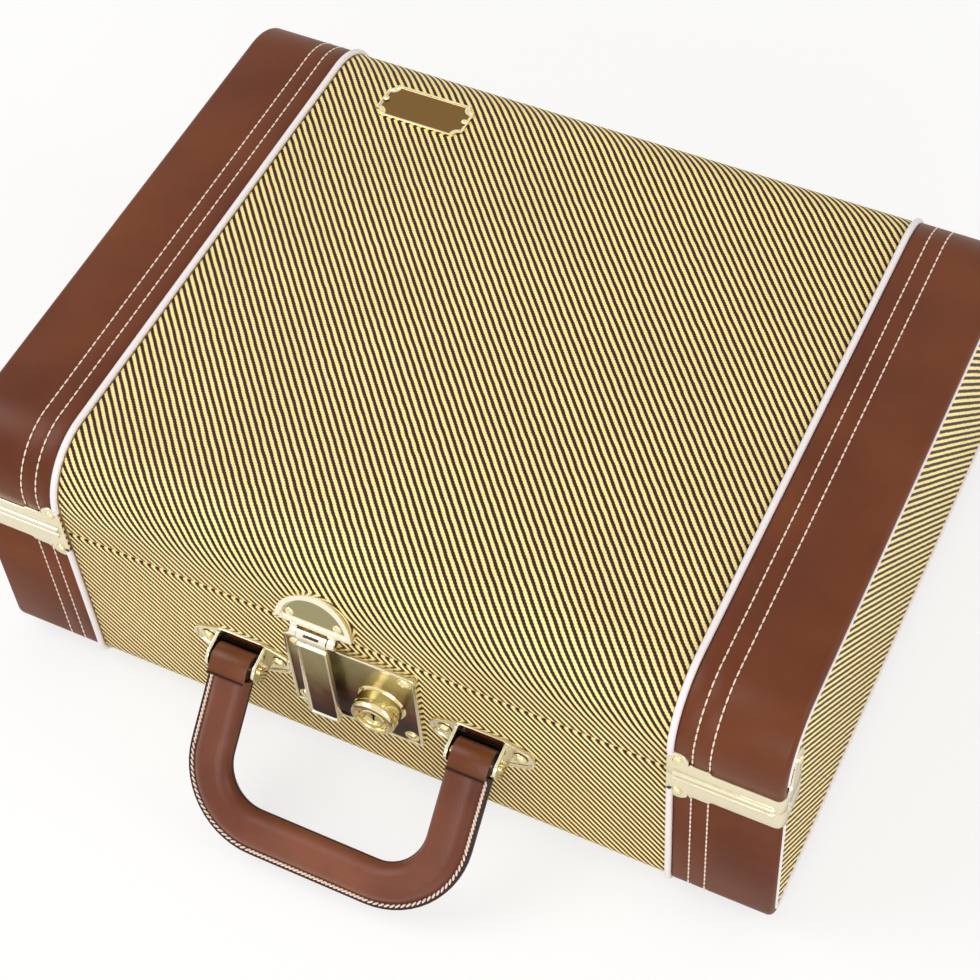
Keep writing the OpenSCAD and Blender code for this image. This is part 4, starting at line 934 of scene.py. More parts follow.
base_ear_z, lid_ear_z = seam_low - ear_rise, seam_high + ear_rise
four = [(side, end) for side in (-1, 1) for end in (on_front, on_rear)]
ear_spots = {z: [end(side * ear_x, front_y - guard_t if end is on_front else rear_y + guard_t, z)
                 for side, end in four] for z in (base_ear_z, lid_ear_z)}
piece("base_rivet_heads", copies(rivet_head(), *ear_spots[base_ear_z]), turned_brass, "base",
      ["base_rivets"])
leg_spots = [on_side(side * (end_x + guard_t), y, seam_high + leg_rise, side)
             for side in (-1, 1) for y in (front_y + leg_y, rear_y - leg_y)]
lid_domes = copies(rivet_head(), *ear_spots[lid_ear_z], *leg_spots)
hasp_x, hasp_r, hasp_lean = -18 * mm, 21 * mm, math.radians(14)
hasp_t, rim_t = 2.2 * mm, 1.2 * mm
hasp_rivet_x, hasp_rivet_z = 13 * mm, 8 * mm
round_r = top_r - cloth_sink
lean_y = cloth_y + round_r * (1 - math.cos(hasp_lean))
lean_z = top_z - top_r + round_r * math.sin(hasp_lean)
pin_low, pin_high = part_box("hasp_pin")
pin_y, pin_z = (pin_low.y + pin_high.y) / 2, (pin_low.z + pin_high.z) / 2
hasp_low = (lean_z - pin_z - 3 * mm) / math.cos(hasp_lean)
on_lean = Matrix.Translation((hasp_x, lean_y, lean_z)) @ Matrix.Rotation(
    math.pi / 2 - hasp_lean, 4, "X")
join(lid_domes, rivet_head(2.4 * mm, 1 * mm),
     *[on_lean @ Matrix.Translation((s * hasp_rivet_x, hasp_rivet_z - hasp_low, hasp_t))
       for s in (-1, 1)])
name_low, name_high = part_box("nameplate")
name_len, name_dep = name_high.x - name_low.x, name_high.y - name_low.y
name_t = name_high.z - name_low.z
name_mid = (name_low + name_high) / 2
name_pin_x = name_len / 2 - 2.2 * mm
join(lid_domes, rivet_head(1.8 * mm, 1 * mm), *[
    Matrix.Translation((name_mid.x + s * name_pin_x, name_mid.y, name_high.z)) for s in (-1, 1)])
piece("lid_rivet_heads", lid_domes, turned_brass, "lid", ["lid_rivets"])

# %% [markdown]
# ## The nameplate
# A cast plate with notched corners and a raised rim. The rim is polished and the field is left
# dark. The field is bare. Insetting the top face and lowering it makes the rim, and a thin
# second plate, with its own finish, fills the field.

# %% The nameplate
def notched(length, width, notch):
    """A rectangle with a round notch in each corner."""
    points = []
    for sx, sy, start in ((1, -1, 180), (1, 1, 270), (-1, 1, 0), (-1, -1, 90)):
        points += arc(sx * length / 2, sy * width / 2, notch, start, start - 90, 6)
    return points


def rimmed(outline, thickness, rim, sink, edge=0.3 * mm):
    """A plate whose top is lowered inside a rim."""
    bm = slab(outline, thickness, 0)
    top = max(bm.faces, key=lambda f: f.calc_center_median().z)
    bmesh.ops.inset_individual(bm, faces=[top], thickness=rim)
    bmesh.ops.inset_individual(bm, faces=[top], thickness=sink * 0.6, depth=-sink)
    high = [e for e in bm.edges if all(v.co.z > thickness * 0.95 for v in e.verts)]
    soften(bm, high, edge)
    return bm


at_name = Matrix.Translation((name_mid.x, name_mid.y, name_low.z))
name_sink, field_t = 0.6 * mm, 0.12 * mm
bm = copies(rimmed(notched(name_len, name_dep, 4 * mm), name_t, 1.3 * mm, name_sink), at_name)
piece("nameplate_rim", bm, turned_brass, "lid", ["nameplate"])
field = notched(name_len - 3.6 * mm, name_dep - 3.6 * mm, 4.6 * mm)
piece("nameplate_field", copies(slab(field, field_t, 0, name_t - name_sink), at_name), bronze,
      "lid")

# %% [markdown]
# ## The hasp
# The plate on the lid is a half disc with a rolled rim that stands on its edge against the
# rounded lid. The strap hangs from a pin in two knuckles. It is one sheet, curled round the
# pin with a slot in the middle of the curl, flat below, and turned up at its edges.

# %% The hasp
def aged_sheet(name, low, high):
    """Brass sheet with a painted reflection and shade that darkens downwards, between two heights.
    """
    made, tree, shader = material(name, Metallic=1.0, Roughness=0.3)
    level = sums(tree, "DIVIDE", sums(tree, "SUBTRACT", place_along(tree, "Z"), low), high - low)
    painted_reflection_level = sums(tree, "MULTIPLY_ADD", noise(tree, 22 * mm, 5.0), 0.5,
                 sums(tree, "SUBTRACT", level, 0.25))
    # Painted reflection and shade: dark red-brown low down, as of the brown leather below mirrored
    # in the sheet, pale olive brass higher up.
    paint(tree, shader, painted_reflection_level, (0.1, "34130C"), (0.35, "6B3E22"), (0.6, "A39767"), (1.0, "C9C19A"))
    relief(tree, shader, noise(tree, 8 * mm), 0.1 * mm)
    return made


# Two copies of the brass with light and shade painted in: a near-white one, a painted highlight,
# for the rim, knuckles and strap, and an olive grey one, painted shade, for the half disc's field.
brass_painted_highlight = polished_metal("brass_sheet_painted_highlight", "F6EFD8", 0.2, 0.1)
brass_painted_shade = polished_metal("brass_sheet_painted_shade", "9C9570", 0.22, 0.3)
half_disc = arc(0, 0, hasp_r, 0, 180, 32)
on_plate = on_lean @ Matrix.Translation((0, 2 * mm - hasp_low, 0))
bm = copies(rimmed(half_disc, hasp_t + rim_t, 2.8 * mm, rim_t, 0.5 * mm), on_plate)
join(bm, slab(half_disc, 6 * mm, 0, -5.9 * mm), on_plate)
strap_w, strap_t, strap_len = 18 * mm, 1.6 * mm, 70 * mm
knuckle_r, curl_w = 3 * mm, strap_w - 2 * mm
barrel = [(0, 0), (knuckle_r - 0.4 * mm, 0), (knuckle_r, 0.4 * mm), (knuckle_r, 3.6 * mm),
          (knuckle_r - 0.4 * mm, 4 * mm), (0, 4 * mm)]
for side in (-1, 1):
    at = Vector((hasp_x + side * (curl_w / 2 + 0.3 * mm), pin_y, pin_z))
    join(bm, turned(barrel, 24), on_side(*at, side))
    near, far = sorted((at.x, at.x + side * 4 * mm))
    join(bm, box_block((near, pin_y, pin_z), (far, pin_y + 4 * mm, pin_z + 6 * mm), 0.3 * mm))
piece("hasp_plate_with_rim", bm, brass_painted_highlight, "lid", ["hasp_plate"])
# The half disc's field has the painted shade.
field = arc(0, 0, hasp_r - 3.7 * mm, 12, 168, 28)
piece("hasp_plate_field", copies(slab(field, field_t, 0, hasp_t), on_plate), brass_painted_shade, "lid")

bm = bmesh.new()
strap_y, strap_low = pin_y - knuckle_r, pin_z - strap_len
slot_half = 4.2 * mm
curl = chain(bm, [(hasp_x + x, strap_y, pin_z - 7 * mm)
                  for x in (-curl_w / 2, -slot_half, slot_half, curl_w / 2)])
curl = pull(bm, curl, (0, 0, 7 * mm))
sweep(bm, curl, (0, pin_y, pin_z), x_axis, -264, 22)
slot = []
for face in bm.faces:
    at = face.calc_center_median() - Vector((hasp_x, pin_y, pin_z))
    if abs(at.x) < slot_half and 24 < math.degrees(math.atan2(at.z, -at.y)) < 60:
        slot.append(face)
bmesh.ops.delete(bm, geom=slot, context="FACES")
bmesh.ops.solidify(bm, geom=bm.faces[:] + bm.edges[:] + bm.verts[:], thickness=-1.1 * mm)
r, low, high = 3 * mm, -strap_len, -5.5 * mm
half = strap_w / 2
strap = [(-half + 1 * mm, high)] + arc(-half + r, low + r, r, 180, 270, 6)
strap += arc(half - r, low + r, r, 270, 360, 6) + [(half - 1 * mm, high)]
on_strap = on_front(hasp_x, strap_y + strap_t, pin_z)
join(bm, rimmed(strap, strap_t + 1 * mm, 1.3 * mm, 0.9 * mm, 0.35 * mm), on_strap)
staple_w, staple_h = 9 * mm, 9 * mm
staple_z = (plate_low.z + plate_high.z) / 2 - 4 * mm
back_y = cloth_y - 1 * mm
for low_x, high_x, low_y in ((-1, -1 / 3, 0), (1 / 3, 1, 0), (-1, 1, 0.6)):
    near = strap_y + strap_t - 0.2 * mm
    start = near + (back_y - near) * low_y
    join(bm, box_block((hasp_x + low_x * staple_w / 2, start, staple_z - staple_h / 2),
                       (hasp_x + high_x * staple_w / 2, back_y, staple_z + staple_h / 2),
                       0.4 * mm))
piece("hasp_strap", bm, brass_painted_highlight, "hasp", ["hasp"])
# The strap's field has a painted reflection that darkens downwards.
field = rounded(strap_w - 4.4 * mm, strap_len - 10 * mm, 1.4 * mm)
bm = copies(slab(field, field_t, 0, strap_t + 0.1 * mm),
            on_strap @ Matrix.Translation((0, -(strap_len + 5.6 * mm) / 2, 0)))
piece("hasp_strap_field", bm, aged_sheet("strap_brass_painted_reflection", strap_low, pin_z + 10 * mm), "hasp")

# %% [markdown]
# ## The lock
# The plate keeps the frame's solid, because its groove and bore are real, and a rolled frame
# is laid round it. The round boss is turned: a fat collar, a step, a bright front ring, a
# dark groove and an inner ring round the key plug.

# %% The lock
lock_mid = (plate_low + plate_high) / 2
lock_w, lock_h = plate_high.x - plate_low.x, plate_high.z - plate_low.z
lock_t = plate_high.y - plate_low.y
# The lock plate has a painted reflection that darkens downwards.
refinish(aged_sheet("lock_brass_painted_reflection", plate_low.z + 8 * mm, plate_high.z + 12 * mm), "lock_plate")
bm = copies(window_frame(lock_w + 0.6 * mm, lock_h + 0.6 * mm, 3.3 * mm, 1.9 * mm,
                         lock_t + 0.9 * mm, 0.45 * mm), on_front(lock_mid.x, cloth_y, lock_mid.z))
piece("lock_plate_frame", bm, sheet_brass, "base")

boss_out = cloth_y - lock_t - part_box("lock_housing")[0].y
profile = [(5.05, -11.2), (10, -11.2), (10, 0), (13.4, 0), (13.4, 1.6), (12.8, 2.4), (12.1, 2.6),
           (12.1, 7.6), (11.5, 7.8), (11.5, 8.6), (12, 8.8), (12, 11.4), (11.6, 12.2), (10.8, 12.4),
           (9.2, 12.4), (8.8, 12.0), (8.6, 10.6), (7, 10.6), (6.8, 11.6), (6.3, 11.9), (5.4, 11.9),
           (5.05, 11.5), (5.05, -11.2)]
key_low, key_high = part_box("key_plug")
boss_at = ((key_low.x + key_high.x) / 2, cloth_y - lock_t, (key_low.z + key_high.z) / 2)
stretch = boss_out / (12.4 * mm)
bm = copies(turned([(r * mm, z * mm * (stretch if z > 0 else 1)) for r, z in profile], 40),
            on_front(*boss_at))
piece("lock_boss", bm, turned_brass, "base", ["lock_housing"], crease=30)

# %% [markdown]
# ## The handle brackets
# A bracket is a plate with round ends and a rolled rim. Two tongues of the same sheet are
# bent out as two cheeks for the pin. Between them is the sloping shoe on which the handle
# rests when it hangs down, and a black strip that paints the shadow in the slot behind the loop.

# %% The handle brackets
# A near-black matt sheet that stands for shadow: a painted shadow.
painted_shadow_black = plain("black_painted_shadow", "15110E", 0.8 * mm, 0.1 * mm, Roughness=0.95, Specular_IOR_Level=0.1)
cheek_gap, cheek_t, cheek_r = 24.8 * mm, 1.6 * mm, 6 * mm
handle_y = (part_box("handle_pins")[0].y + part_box("handle_pins")[1].y) / 2
out = cloth_y - handle_y
shoulder, hump = 14.6 * mm, 12 * mm
end_r, end_at = 8 * mm, bracket_screw
bracket = arc(end_at, 0, end_r, -62, 62, 10)
bracket += arc(shoulder - 3 * mm, hump - 3 * mm, 3 * mm, 50, 90, 3)
bracket += [(-x, y) for x, y in reversed(bracket)]
bracket += [(x, -y) for x, y in arc(3 * mm - shoulder, hump - 3 * mm, 3 * mm, 130, 90, 3)]
bracket += [(x, -y) for x, y in arc(shoulder - 3 * mm, hump - 3 * mm, 3 * mm, 90, 50, 3)]
cheek = arc(0, 0, cheek_r, 90, 215, 12)
cheek += [(1.2 * mm, -11.5 * mm), (out, -9 * mm), (out, 8.5 * mm)]
droop = math.radians(46)
rest_gap = 8.3 * mm
shoe_low = -10 * mm
shoe = [(out, (out * math.sin(droop) - rest_gap) / math.cos(droop)), (out, shoe_low),
        ((rest_gap + shoe_low * math.cos(droop)) / math.sin(droop), shoe_low)]
across = Matrix(((0, 0, 1, 0), (1, 0, 0, 0), (0, 1, 0, 0), (0, 0, 0, 1)))
bm = bmesh.new()
for side in (-1, 1):
    at = Matrix.Translation((side * handle_span / 2, 0, bracket_z))
    join(bm, rimmed(bracket, 2.4 * mm, 1.3 * mm, 0.9 * mm, 0.5 * mm),
         at @ on_front(0, cloth_y, 0))
    at = at @ Matrix.Translation((0, handle_y, 0))
    for edge in (-1, 1):
        start = edge * (cheek_gap + cheek_t) / 2 - cheek_t / 2
        join(bm, slab(cheek, cheek_t, 0.35 * mm), at @ Matrix.Translation((start, 0, 0)) @ across)
    join(bm, slab(shoe, cheek_gap, 0), at @ Matrix.Translation((-cheek_gap / 2, 0, 0)) @ across)
piece("handle_bracket_loops", bm, sheet_brass, "base", ["handle_brackets"])

# A black strip in the slot behind the handle's loop: a painted shadow.
bm = copies(slab(rounded(cheek_gap, 10 * mm, 1 * mm), 0.5 * mm, 0.1 * mm), *[
    on_front(side * handle_span / 2, cloth_y - 1.55 * mm, bracket_z - 1.6 * mm)
    for side in (-1, 1)])
piece("bracket_painted_shadow_strip", bm, painted_shadow_black, "base", crease=60)

# %% [markdown]
# ## The handle
# A padded leather handle: a strap wrapped round a core and sewn along its outer edge, where
# the two layers lie flat on each other as a welt with a cut black edge. Its section follows
# two legs, two bends and a straight grip. The seam is a row of slanted stitches, each lying
# across the next, so that it looks like a twisted cord.

# %% The handle
grip_w, grip_t, grip_bend, welt_w, welt_t = 24 * mm, 15 * mm, 34 * mm, 4 * mm, 3.4 * mm
handle_leg = handle_span / 2
handle_deep = 92 * mm - grip_w / 2
leg_len = handle_deep - grip_bend
leg_start = 6.4 * mm
on_handle = Matrix.Translation((0, handle_y, bracket_z)) @ Matrix.Rotation(droop, 4, "X")


def follow_handle(name, section, finish, crease, stands_for=()):
    """A piece whose section, outwards and up, follows the handle from loop to loop."""
    bm = bmesh.new()
    first = chain(bm, [(-handle_leg - u, -leg_start, v) for u, v in section], closed=True)
    edges = pull(bm, first, (0, leg_start - leg_len, 0))
    edges = sweep(bm, edges, (grip_bend - handle_leg, -leg_len, 0), (0, 0, 1), 90, 14)
    edges = pull(bm, edges, (2 * (handle_leg - grip_bend), 0, 0))
    edges = sweep(bm, edges, (handle_leg - grip_bend, -leg_len, 0), (0, 0, 1), 90, 14)
    edges = pull(bm, edges, (0, leg_len - leg_start, 0))
    for ring in (first, edges):
        bmesh.ops.edgeloop_fill(bm, edges=ring)
    move(bm, on_handle)
    piece(name, bm, finish, "handle", stands_for, crease)


def handle_point(distance, out):
    """A point of the handle at a distance from the left pin and a distance outwards."""
    bend = grip_bend * math.pi / 2
    level = 2 * (handle_leg - grip_bend)
    total = 2 * leg_len + 2 * bend + level
    mirrored = distance > total / 2
    rest = total - distance if mirrored else distance
    if rest < leg_len:
        x, y, turn = -handle_leg - out, -rest, -90
    elif rest < leg_len + bend:
        angle = (rest - leg_len) / grip_bend
        x = grip_bend - handle_leg - (grip_bend + out) * math.cos(angle)
        y = -leg_len - (grip_bend + out) * math.sin(angle)
        turn = math.degrees(angle) - 90
    else:
        x, y, turn = grip_bend - handle_leg + rest - leg_len - bend, -handle_deep - out, 0
    if mirrored:
        x, turn = -x, -turn
    return x, y, math.radians(turn)


handle_len = 2 * leg_len + grip_bend * math.pi + 2 * (handle_leg - grip_bend)
core_r = grip_t / 2
inner_u, outer_u = -grip_w / 2 + core_r, grip_w / 2 - welt_w - core_r
band = arc(inner_u, 0, core_r, 90, 270, 14) + arc(outer_u, 0, core_r, 270, 340, 6)
band += [(grip_w / 2 - welt_w + 0.9 * mm, -welt_t / 2 + 0.2 * mm),
         (grip_w / 2 - welt_w + 0.9 * mm, welt_t / 2 - 0.2 * mm)]
band += arc(outer_u, 0, core_r, 20, 90, 6)[:-1]
follow_handle("padded_leather_handle", band, handle_leather, 50, ["handle_grip"])
welt = arc(grip_w / 2 - 0.7 * mm, -welt_t / 2 + 0.7 * mm, 0.7 * mm, 270, 360, 3)
welt += arc(grip_w / 2 - 0.7 * mm, welt_t / 2 - 0.7 * mm, 0.7 * mm, 0, 90, 3)
welt += [(grip_w / 2 - welt_w - 0.5 * mm, up * welt_t / 2) for up in (1, -1)]
follow_handle("handle_welt", welt, welt_leather, 50)
seam = [(-grip_w / 2 + 0.1 * mm + x, y) for x, y in arc(0, 0, 0.55 * mm, 0, 315, 7)]
follow_handle("handle_inner_seam", seam, welt_leather, 80)

seam_pitch, seam_at = 2.3 * mm, grip_w / 2 - 2.4 * mm
bead = bmesh.new()
bmesh.ops.create_uvsphere(bead, u_segments=6, v_segments=5, radius=0.5)
move(bead, Matrix.Diagonal((1.3 * mm, 1.3 * mm, 3.6 * mm, 1)))
bmesh.ops.rotate(bead, verts=bead.verts, matrix=Matrix.Rotation(math.radians(90), 3, "Y"))
sewn_from, sewn_len = 8 * mm, handle_len - 16 * mm
count = int(sewn_len / seam_pitch)
places = []
for i in range(count):
    x, y, turn = handle_point(sewn_from + (i + 0.5) * sewn_len / count, seam_at)
    for side in (-1, 1):
        places.append(Matrix.Translation((x, y, side * (welt_t / 2 + 0.25 * mm)))
                      @ Matrix.Rotation(turn + side * 0.45, 4, "Z"))
bm = copies(bead, *places)
move(bm, on_handle)
piece("handle_stitches", bm, thread, "handle", crease=80)

# The end loops wear the leather with the painted brass reflection.
loop_r, loop_len, loop_w = grip_t / 2 + 0.1 * mm, 7 * mm, 21 * mm
loops, edging = bmesh.new(), bmesh.new()
for side in (-1, 1):
    left = side * handle_leg - loop_w / 2
    wide = [(left, -loop_len, loop_r), (left + loop_w, -loop_len, loop_r)]
    strip = pull(loops, chain(loops, wide), (0, loop_len, 0))
    strip = sweep(loops, strip, (0, 0, 0), x_axis, -180, 14)
    pull(loops, strip, (0, -loop_len, 0))
    for face in (-1, 1):
        join(edging, box_block((left, -loop_len - 0.5 * mm, -0.6 * mm),
                               (left + loop_w, 0.3 * mm - loop_len, 0.6 * mm), 0.25 * mm),
             Matrix.Translation((0, 0, face * (loop_r + 0.4 * mm))))
    roll = turned([(0, 0), (loop_r - 1.2 * mm, 0), (loop_r - 1.2 * mm, loop_w - 1.4 * mm),
                   (0, loop_w - 1.4 * mm)])
    join(edging, roll, on_side(left + 0.7 * mm, 0, 0))
bmesh.ops.solidify(loops, geom=loops.faces[:] + loops.edges[:] + loops.verts[:],
                   thickness=-1 * mm)
soften(loops, corners(loops, 60), 0.3 * mm)
for name, bm, finish in (("handle_end_loops", loops, loop_leather_painted_reflection),
                         ("handle_loop_edges", edging, welt_leather)):
    move(bm, on_handle)
    piece(name, bm, finish, "handle")

# %% [markdown]
# ## Hinges and feet
# A hinge leaf is a plate with rounded corners; its knuckles are turned and joined to it by a
# small lip. The feet are moulded rubber with a ring and a steel washer inside.

# %% Hinges and feet
hinge_pin_low, hinge_pin_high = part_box("hinge_pins")
hinge_y = (hinge_pin_low.y + hinge_pin_high.y) / 2
seam_z = (hinge_pin_low.z + hinge_pin_high.z) / 2
hinge_r, knuckle_len, pin_hole_r, edge = 3 * mm, hinge_len / 3, 1.55 * mm, 0.35 * mm
leaf_low, leaf_high = 3.4 * mm, 15 * mm
wide = knuckle_len / 2 - 0.15 * mm
tube = [(pin_hole_r, -wide), (hinge_r - edge, -wide), (hinge_r, -wide + edge),
        (hinge_r, wide - edge), (hinge_r - edge, wide), (pin_hole_r, wide), (pin_hole_r, -wide)]
for body, up, places in (("base", -1, (-1, 1)), ("lid", 1, (0,))):
    bm = bmesh.new()
    for side in (-1, 1):
        flat = rounded(hinge_len, leaf_high - leaf_low, 1.2 * mm)
        join(bm, slab(flat, hinge_t, 0.3 * mm),
             on_rear(side * hinge_x, rear_y, seam_z + up * (leaf_low + leaf_high) / 2))
        for spot in places:
            x = side * hinge_x + spot * knuckle_len
            join(bm, turned(tube, 24), on_side(x, hinge_y, seam_z))
            near, far = sorted((seam_z + up * 1.9 * mm, seam_z + up * 4.6 * mm))
            join(bm, box_block((x - wide, rear_y, near), (x + wide, rear_y + hinge_t, far),
                               0.2 * mm))
    piece(body + "_hinge_leaves", bm, sheet_brass, body,
          ["hinge_" + body + "_leaves"])

rubber = plain("black_rubber", "2B2926", 1.5 * mm, 0.1 * mm, Roughness=0.75)
feet_low, feet_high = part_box("rubber_feet")
foot_r = 9 * mm
profile = [(0, 2.2), (3.4, 2.2), (3.6, 0.5), (4.1, 0.0), (7.2, 0.0), (7.8, 0.4), (8.2, 2.2),
           (8.6, 2.6), (8.6, 3.4), (9, 3.8), (9, 6), (0, 6)]
bm = copies(turned([(r * mm, z * mm) for r, z in profile], 32), *[
    Matrix.Translation((x, y, 0)) for x in (feet_low.x + foot_r, feet_high.x - foot_r)
    for y in (feet_low.y + foot_r, feet_high.y - foot_r)])
piece("moulded_feet", bm, rubber, "base", ["rubber_feet"], crease=45)

refinish(steel, "hinge_pins", "hasp_pin")
refinish(turned_brass, "handle_pins", "key_plug")

# %% [markdown]
# ## Finishes of the tester
# The walls are birch plywood and the cleats are pine, both plain and oiled. The panel is
# aluminium with hammered enamel: metal flakes and silicone make small round dimples in the
# paint. Sockets and knobs are phenolic moulding, which has a deep gloss and faint flow marks.

# %% Finishes of the tester
def oiled_wood(name, light, dark, ring):
    """Sawn wood with its grain along X. The ring is the distance between dark lines."""
    made, tree, shader = material(name, Roughness=0.55)
    long = add(tree, "ShaderNodeMapping", {"Vector": place(tree), "Scale": (0.08, 1, 1)})
    lines = noise(tree, ring, 6.0, long.outputs[0])
    paint(tree, shader, lines, (0.35, dark), (0.62, light))
    relief(tree, shader, lines, 0.12 * mm)
    return made


def phenolic(name, deep, clear):
    """Glossy phenolic moulding with flow marks."""
    made, tree, shader = material(name, Roughness=0.24)
    paint(tree, shader, noise(tree, 14 * mm, 5.0), (0.35, deep), (0.75, clear))
    relief(tree, shader, noise(tree, 12 * mm), 0.08 * mm)
    return made


plywood = oiled_wood("birch_plywood", "D8BC8C", "B8935F", 3.5 * mm)
pine = oiled_wood("pine_batten", "DDB678", "B98448", 5 * mm)
black_moulding = phenolic("black_phenolic", "0E0C0B", "1D1916")
brown_moulding = phenolic("brown_phenolic", "35190D", "5E3018")
enamel, tree, shader = material("hammered_enamel", Roughness=0.34, Metallic=0.35)
dimples = add(tree, "ShaderNodeTexVoronoi", {"Vector": place(tree), "Scale": 1 / (2.6 * mm),
                                             "Smoothness": 0.8}, feature="SMOOTH_F1")
paint(tree, shader, dimples.outputs["Distance"], (0.1, "7B878B"), (0.6, "69767B"))
relief(tree, shader, dimples.outputs["Distance"], 0.25 * mm, 0.4)
zinc = polished_metal("zinc_plated_steel", "AFAEA6", 0.34, 0.1)
cast_steel = mottled("magnet_steel", 3 * mm, 3.0, "3C3B3A", "595755", Metallic=0.8, Roughness=0.6)
laminations = striped("stacked_laminations", "Y", 1 * mm, "35322F", "5E5A56", 0.1 * mm,
                      Metallic=0.7, Roughness=0.5)
winding = striped("varnished_winding", "Z", 1.2 * mm, "5A3A12", "A87A35", 0.2 * mm, Roughness=0.35)
card = mottled("printed_card", 30 * mm, 4.0, "EFE6CC", "F6F0DC", Roughness=0.6)
black_ink = plain("black_ink", "1A1817", 0.5 * mm, 0.01 * mm, Roughness=0.6)
white_ink = plain("white_filler_paint", "F0EEE6", 0.5 * mm, 0.02 * mm, Roughness=0.5)
red_plastic = plain("red_moulded_plastic", "A81C16", 6 * mm, 0.05 * mm, Roughness=0.25)
glass = plain("clear_glass", "FFFFFF", 40 * mm, 0.05 * mm, Roughness=0.02, IOR=1.5, Alpha=0.12)
jewel = plain("red_lamp_glass", "C81410", 6 * mm, 0.05 * mm, Roughness=0.08, IOR=1.5,
              Transmission_Weight=0.6)
chart_print, tree, shader = material("ruled_chart_paper", Roughness=0.75)
split = add(tree, "ShaderNodeSeparateXYZ", {0: place(tree)})
row = sums(tree, "FRACT", sums(tree, "DIVIDE", split.outputs["Y"], 4 * mm))
column = sums(tree, "FRACT", sums(tree, "DIVIDE", split.outputs["X"], 15 * mm))
ruled = sums(tree, "MAXIMUM", sums(tree, "LESS_THAN", row, 0.08),
             sums(tree, "LESS_THAN", column, 0.03))
paint(tree, shader, ruled, (0.0, "F1EAD2"), (1.0, "8A6F52"))
relief(tree, shader, noise(tree, 0.8 * mm), 0.02 * mm)

for finish, nodes in ((plywood, ("base_shell", "lid_shell")), (pine, ("panel_cleats",)),
                      (enamel, ("control_panel", "chart_frame")),
                      (zinc, ("selector_switches", "panel_screws", "toggle_switch", "button_bush")),
                      (steel, ("toggle_lever",)), (card, ("meter_dial",)),
                      (cast_steel, ("meter_movement",)), (black_ink, ("meter_needle",)),
                      (glass, ("meter_glass",)), (chart_print, ("chart_paper",)),
                      (oiled_wood("roller_beech", "D9B98C", "BE9764", 4 * mm),
                       ("drive_roller", "idle_roller")),
                      (black_moulding, ("socket_octal", "socket_loctal", "mains_inlet")),
                      (brown_moulding, ("socket_miniature", "socket_noval")),
                      (red_plastic, ("test_button",)), (laminations, ("transformer_core",)),
                      (winding, ("transformer_coil",))):
    refinish(finish, *nodes)

# %% [markdown]
# ## The meter
# A moulded case with rounded corners, a card dial and a needle under glass. The case is a
# frame round the window, with a floor under the dial. The printing is made as thin inlays
# on the card: an arc with graduations, numbers, and three coloured sectors for the result of
# a test. Numbers are text that is turned into a mesh.

# %% The meter
panel_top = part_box("control_panel")[1].z
meter_low, meter_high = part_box("meter_case")
dial_low, dial_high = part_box("meter_dial")
meter_mid = (dial_low + dial_high) / 2
meter_w, meter_d = meter_high.x - meter_low.x, meter_high.y - meter_low.y
window_w, window_d = meter_w - 14 * mm, meter_d - 14 * mm
pivot = Vector((meter_mid.x, meter_mid.y - 20 * mm, dial_high.z))
print_t = 0.06 * mm


def lettering(bm, text, size, matrix):
    """Adds flat characters, centred on the matrix's origin, to a bmesh."""
    curve = bpy.data.curves.new("characters", "FONT")
    curve.body, curve.size, curve.extrude, curve.resolution_u = text, size, print_t, 3
    curve.align_x = curve.align_y = "CENTER"
    made = bpy.data.objects.new("characters", curve)
    flat = bmesh.new()
    flat.from_mesh(made.to_mesh())
    join(bm, flat, matrix)
    made.to_mesh_clear()
    bpy.data.objects.remove(made)
    bpy.data.curves.remove(curve)


def over_panel(node, rise=0.0):
    """A node's box, and the point over its middle at a height above the panel."""
    low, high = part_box(node)
    return low, high, Vector(((low.x + high.x) / 2, (low.y + high.y) / 2, panel_top + rise))


def arc_band(inner, outer, start, end, steps=24):
    """A flat band between two radii, in degrees from +X."""
    return slab(arc(0, 0, outer, start, end, steps) + arc(0, 0, inner, end, start, steps),
                print_t, 0)


def bar(width, near, far, thickness):
    """A flat bar along +Y, between two distances from the origin."""
    return slab([(-width / 2, near), (width / 2, near), (width / 2, far), (-width / 2, far)],
                thickness, 0)


at_meter = Matrix.Translation((meter_mid.x, meter_mid.y, panel_top))
bm = copies(window_frame(meter_w, meter_d, 7 * mm, 7 * mm, meter_high.z - panel_top, 1.6 * mm),
            at_meter)
join(bm, box_block((-window_w / 2, -window_d / 2, 0.1 * mm),
                   (window_w / 2, window_d / 2, dial_low.z - panel_top - 0.02 * mm), 0), at_meter)
barrel_r, barrel_in, deep = 32 * mm, 29 * mm, meter_low.z - panel_top
join(bm, turned([(barrel_in, deep), (barrel_r, deep), (barrel_r, 0), (barrel_in, 0),
                 (barrel_in, deep)], 48), at_meter)
piece("moulded_meter_case", bm, black_moulding, "base", ["meter_case"])

